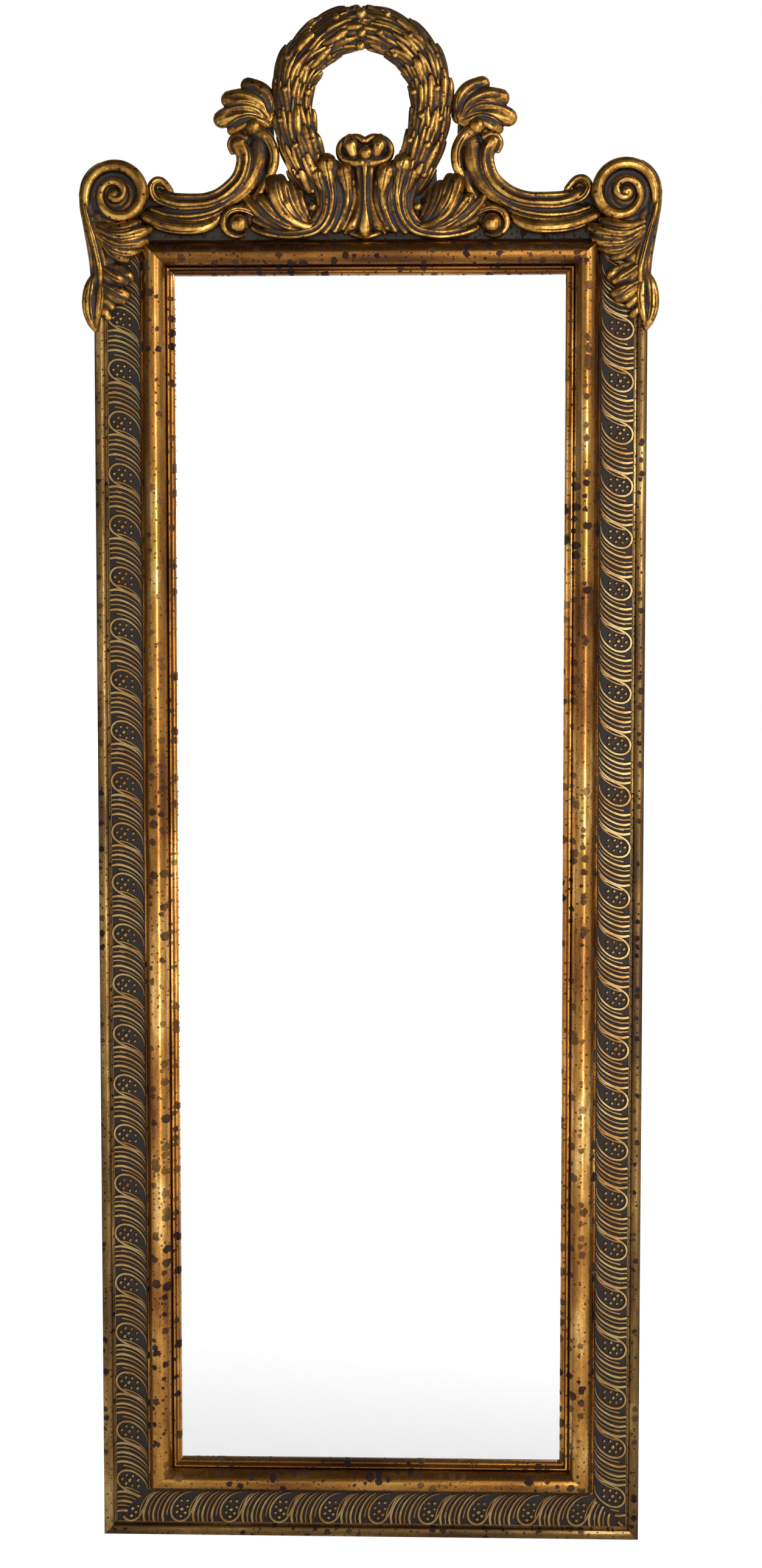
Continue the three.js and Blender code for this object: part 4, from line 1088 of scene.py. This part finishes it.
# a length of moulding, extruded along its rail and cut at both ends
def mouldingLength(side, section, squareEnd=None):
    bpy.ops.mesh.primitive_circle_add(vertices=len(section), radius=mm, fill_type="NGON")
    piece = bpy.context.object
    setCorners(piece, [(u * mm, 0, d * mm) for u, d in section])
    run = rails[side]["run"]
    steps = round(run / moulding["step"])
    choose(piece)
    bpy.ops.object.mode_set(mode="EDIT")
    bpy.ops.mesh.select_all(action="SELECT")
    for _ in range(steps):
        bpy.ops.mesh.extrude_region_move(TRANSFORM_OT_translate={"value": (0, run / steps, 0)})
    bpy.ops.mesh.select_all(action="SELECT")
    bpy.ops.mesh.normals_make_consistent(inside=False)
    mitre(piece, run, squareEnd)
    return piece


# slight unevenness of a hand-rubbed surface
def wave(piece, strength):
    cloud = bpy.data.textures.new("rubbing", "CLOUDS")
    cloud.noise_scale = moulding["waveSize"]
    finishWith(piece, "DISPLACE", texture=cloud, strength=strength, mid_level=0.5,
               texture_coords="LOCAL")


def torusSection():
    points = list(torus["bead"])
    for i in range(torus["arcs"] + 1):
        angle = math.pi * (1 - i / torus["arcs"])
        points.append([torus["centre"] + torus["half"] * math.cos(angle),
                       torus["foot"] + torus["rise"] * math.sin(angle)])
    points.append([torus["centre"] + torus["half"], seat])
    return points


# from where a piece is made, at the origin and along y, to its place on a rail
def toRail(piece, side):
    (ax, az), (lx, lz) = rails[side]["across"], rails[side]["along"]
    x, z = rails[side]["start"]
    piece.data.transform(Matrix(((ax, lx, 0, x), (0, 0, -1, 0), (az, lz, 0, z), (0, 0, 0, 1))))
    piece.data.update()


for side in rails:
    gilt = uprightGilt if side in ("right", "left") else acrossGilt
    for name, section, waves in (("torus", torusSection(), torus["waves"]),
                                 ("slip", slip["section"], slip["waves"])):
        piece = mouldingLength(side, section)
        toRail(piece, side)
        wave(piece, waves)
        smoothShade(piece, moulding["smoothUnder"])
        place(piece, name + side.capitalize(), gilt, "moulding_gilt", name + "_" + side)
print("mouldings run")

# sizes in mm; a point's hollow goes by its height, and it is darker near the torus, a painted shadow of
# the torus
band = {
    "outer": 15.3,
    "inner": 58.4,
    "bed": 27.4,
    "chamfer": (1, 0.3),  # how far in and how far down each edge of the bed is broken
    "edging": 1.1,
    "edgingStations": 60,
    "endsUnderEar": 62,
    "clear": 2,  # least room from a stroke to the band's end
    "beadClear": 3,
    "pitch": {"right": 66, "left": 66, "bottom": 65.3},
    "first": {"right": 8.45, "left": 40.85, "bottom": 48.5},
    "wobble": 0.35,
    "beadSizes": (0.88, 1.1),
    "hollow": 0.98,
    "proud": 0.95,
    "proudHeight": 3.6,
    "shade": 0.35,
    "shadeWidth": 7,
    "smoothUnder": 50,
}
# One repeat of the band's ornament, in mm: [from its inner edge, along the rail, radius].
# A beaded cell in a looped rim, then three curled ribs with thinner ones between.
rib = [[0.6, 0, 1.2], [4.5, 7.2, 1.7], [12.5, 14.2, 2.0], [22.5, 19.3, 2.3], [32.5, 21.6, 2.7],
       [41.0, 20.6, 2.5]]
bandUnit = {
    "pitch": 66,
    "rim": [[1.5, 1, 1.2], [7.7, 8.4, 1.6], [17.6, 13.1, 1.8], [28.8, 18.3, 2.0], [36.9, 23.9, 2.1],
            [40.6, 30.3, 2.2], [40.4, 36.2, 2.2], [37.4, 41.4, 2.2], [31.5, 44.6, 2.2],
            [23.2, 44.2, 2.1], [16.2, 41.2, 1.9], [9.3, 35.8, 1.8], [4.8, 30.4, 1.6],
            [1.8, 24.2, 1.4], [0.6, 17, 1.1]],
    "ribs": [35.2, 47.8, 60.3],
    "thinRibs": [41.6, 54.2, 66.4, 29.4],
    "thinness": 0.62,
    "shortRibs": [61.6, 73.4],
    "shortRib": [[26, 0, 0.9], [33, 1.6, 1.5], [41, 1.2, 1.6]],
    "beads": [[13.2, 23.2, 2.6], [21.4, 23.4, 2.5], [29.6, 26.6, 2.7], [34.4, 32.6, 2.8],
              [28.6, 37.6, 2.5], [20.4, 36.6, 2.5], [13.4, 31.2, 2.5], [24.6, 31.0, 3.2]],
    "beadHeight": 0.8,
    "height": 1.3,
}


def alongRail(stroke, start, thin=1.0):
    return [[a, b + start, r * thin] for a, b, r in stroke]


# the strokes of one repeat, each with its height's share and its points per span
def bandStrokes():
    unit = bandUnit
    return ([(unit["rim"], 1.0, 3)]
            + [(alongRail(rib, start), 1.0, 3) for start in unit["ribs"]]
            + [(alongRail(rib[:5], start, unit["thinness"]), 0.5, 2) for start in unit["thinRibs"]]
            + [(alongRail(unit["shortRib"], start), 0.6, 2) for start in unit["shortRibs"]])


# where the band on a rail begins and ends; the upright ones end under the ears
def bandReach(side):
    run, hidden = rails[side]["run"] / mm, band["endsUnderEar"]
    return {"right": (hidden, run), "left": (0, run - hidden), "bottom": (0, run)}[side]


# the ornament as lines of [from outer edge, along the rail, from wall, radius], clear of the ends
def bandLines(side):
    run = rails[side]["run"] / mm
    low, high = bandReach(side)
    pitch, first = band["pitch"][side], band["first"][side]
    stretch = pitch / bandUnit["pitch"]
    lines = []
    for repeat in range(-2, int((run - first) / pitch) + 2):
        offset = first + repeat * pitch
        for stroke, lift, perSpan in bandStrokes():
            path = flow(stroke, perSpan)
            u, s = band["inner"] - path[:, 0], offset + path[:, 1] * stretch
            inside = s > np.maximum(low, u) + band["clear"]
            inside &= s < np.minimum(high, run - u) - band["clear"]
            if inside.sum() < 3:
                continue
            kept = np.nonzero(inside)[0]
            kept = slice(kept[0], kept[-1] + 1)
            wobble = random.uniform(-band["wobble"], band["wobble"])
            height = np.full(len(u), band["bed"] + lift * bandUnit["height"])
            lines.append(rounded(np.column_stack([u, s + wobble, height, path[:, 2]])[kept]))
        for a, b, radius in bandUnit["beads"]:
            u, s = band["inner"] - a, offset + b * stretch
            if max(low, u) + band["beadClear"] < s < min(high, run - u) - band["beadClear"]:
                radius *= random.uniform(*band["beadSizes"])
                height = band["bed"] + bandUnit["beadHeight"]
                lines.append(rounded(np.array([[u, s - 0.05, height, radius],
                                               [u, s + 0.05, height, radius]])))
    edge = band["edging"]
    for u in (band["outer"] + edge, band["inner"] - edge * 0.4):
        stations = np.linspace(max(low, u) + 1, min(high, run - u) - 1, band["edgingStations"])
        lines.append(np.array([[u, s, band["bed"], edge] for s in stations]))
    return lines


def bandSection():
    outer, inner, bed = band["outer"], band["inner"], band["bed"]
    aside, down = band["chamfer"]
    return [[outer, seat], [outer, bed - down], [outer + aside, bed], [inner - aside, bed],
            [inner, bed - down], [inner, seat]]


def makeBand(side):
    low, high = bandReach(side)
    squareEnd = {"right": (0, low * mm), "left": (1, high * mm), "bottom": None}[side]
    ornament = tubes(bandLines(side), 1)
    choose(ornament, mouldingLength(side, bandSection(), squareEnd))
    bpy.ops.object.join()
    places = corners(ornament) / mm
    proud = np.sqrt(np.maximum(places[:, 2] - band["bed"], 0) / band["proudHeight"])
    # painted shadow of the torus on the band's inner side
    shade = (band["inner"] - places[:, 0] - band["shadeWidth"]) / band["shadeWidth"]
    keepHollowAndShade(ornament, band["hollow"] - proud * band["proud"]
               - np.clip(shade, -1, 0) * band["shade"])
    toRail(ornament, side)
    smoothShade(ornament, band["smoothUnder"])
    place(ornament, "band" + side.capitalize(), bandPatina, "band_patina", "band_" + side)


for side in ("right", "bottom", "left"):
    makeBand(side)
print("bands laid")

# every node that stays as it is gets its finish in its own slot
plainFinishes = {
    "stile": uprightFrame, "rail": acrossFrame, "mitre_key": acrossPine, "mirror_glass": mirrorSilver,
    "backboard": plankWood, "back_brace": acrossPine, "glue_block": uprightPine,
    "crest_board": boardFinish, "crest_batten": uprightPine, "batten_screw": screwSteel,
    "hanger_plate": hangerBrass, "hanger_screw": screwSteel, "d_ring": ringSteel,
}
for name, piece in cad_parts.items():
    for start, finish in plainFinishes.items():
        if name.startswith(start):
            piece.data.materials.clear()
            piece.data.materials.append(finish)
print("plain parts finished")

studio = {
    "cameraPlace": (0.1115, -3.2, -0.4654),
    "yaw": 1.7615,
    "pitch": -4.2309,
    "focal": 4052.5,  # in the photo's pixels
    "photoHeight": 2576,
    "film": 36,
    "farthest": 100,
    "lamps": [
        {"name": "key", "place": (2.3, -2.3, 1.1), "size": (1.3, 1.3), "power": 38},
        {"name": "tall", "place": (0.85, -3.0, -0.6), "size": (0.75, 2.2), "power": 38},
        {"name": "fill", "place": (-2.4, -2.8, 0.2), "size": (1.8, 1.8), "power": 6},
    ],
    "aim": (0, 0, -0.5),
    "floorSize": 40,
    "floorGap": 0.5 * mm,
    "floorColour": (0.8, 0.8, 0.8, 1),
    "floorDullness": 0.9,
    "floorGlow": 0.8,
    "floorDim": 0.3,
}


def makeCamera():
    bpy.ops.object.camera_add(location=studio["cameraPlace"])
    camera = bpy.context.object
    camera.rotation_euler = (math.radians(90 + studio["pitch"]), 0, math.radians(studio["yaw"]))
    camera.data.sensor_width = studio["film"]
    camera.data.lens = studio["focal"] / studio["photoHeight"] * studio["film"]
    camera.data.clip_end = studio["farthest"]
    bpy.context.scene.camera = camera


# White to the camera. To gloss it is a dim room: a wide bright window in front, up to eye level,
# a lit wall on the right and a pale wall behind the mirror.
def makeWorld():
    world = bpy.data.worlds.new("studio")
    bpy.context.scene.world = world
    world.use_nodes = True
    tree = world.node_tree
    background = tree.nodes["Background"]
    right, ahead, up = axesOf(tree, node(tree, "TexCoord").outputs["Generated"])
    seen = node(tree, "LightPath").outputs
    soft = span(tree, ahead, -0.4, 1.0, 0.2, 0.85)
    aside = maths(tree, "ABSOLUTE", right)
    window = times(tree, span(tree, aside, 0.3, 0.48, 0.95, 0.0), span(tree, up, 0.15, 0.26, 1.0, 0.0))
    window = times(tree, window, span(tree, ahead, -0.6, -0.8))
    walls = plus(tree, span(tree, right, 0.35, 0.9, 0.0, 0.35), span(tree, ahead, 0.2, 0.8, 0.0, 0.5))
    glossy = plus(tree, plus(tree, window, walls), 0.09)
    picked = node(tree, "Mix", {0: seen["Is Glossy Ray"], 2: soft, 3: glossy}).outputs[0]
    direct = maths(tree, "MAXIMUM", seen["Is Camera Ray"], seen["Is Transmission Ray"])
    shown = node(tree, "Mix", {0: direct, 2: picked, 3: 1.0}).outputs[0]
    tree.links.new(shown, background.inputs["Strength"])
    background.inputs["Color"].default_value = (1, 1, 1, 1)


def makeLights():
    for lamp in studio["lamps"]:
        bpy.ops.object.light_add(type="AREA", location=lamp["place"])
        light = bpy.context.object
        light.name = lamp["name"]
        light.data.shape = "RECTANGLE"
        light.data.size, light.data.size_y = lamp["size"]
        light.data.energy = lamp["power"]
        aim = Vector(studio["aim"]) - light.location
        light.rotation_euler = aim.to_track_quat("-Z", "Y").to_euler()


# pale to the camera and through glass; to gloss it is pale in front and dim near the mirror, painted
# shade on the floor as the mirror shows it
def makeFloor():
    level = bottomZ - studio["floorGap"]
    bpy.ops.mesh.primitive_plane_add(size=studio["floorSize"], location=(0, 0, level))
    floor = bpy.context.object
    floor.name = "floor"
    material, tree, shader, place = startMaterial("paleFloor")
    shader.inputs["Base Color"].default_value = studio["floorColour"]
    shader.inputs["Roughness"].default_value = studio["floorDullness"]
    seen = node(tree, "LightPath").outputs
    # painted shade: the floor's glow to gloss falls off near the mirror
    near = span(tree, axesOf(tree, place)[1], -2.4, -0.2, studio["floorGlow"], studio["floorDim"])
    lit = node(tree, "Mix", {0: seen["Is Glossy Ray"], 2: studio["floorGlow"], 3: near}).outputs[0]
    bright = node(tree, "Emission", {"Color": (1, 1, 1, 1), "Strength": lit}).outputs[0]
    both = node(tree, "AddShader", {0: shader.outputs[0], 1: bright}).outputs[0]
    direct = maths(tree, "MAXIMUM", seen["Is Camera Ray"], seen["Is Glossy Ray"])
    direct = maths(tree, "MAXIMUM", direct, seen["Is Transmission Ray"])
    mixed = node(tree, "MixShader", {0: direct, 1: shader.outputs[0], 2: both}).outputs[0]
    tree.links.new(mixed, tree.nodes["Material Output"].inputs["Surface"])
    floor.data.materials.append(material)


makeCamera()
makeWorld()
makeLights()
makeFloor()
bpy.context.scene.view_settings.view_transform = "Standard"
print("stage set")
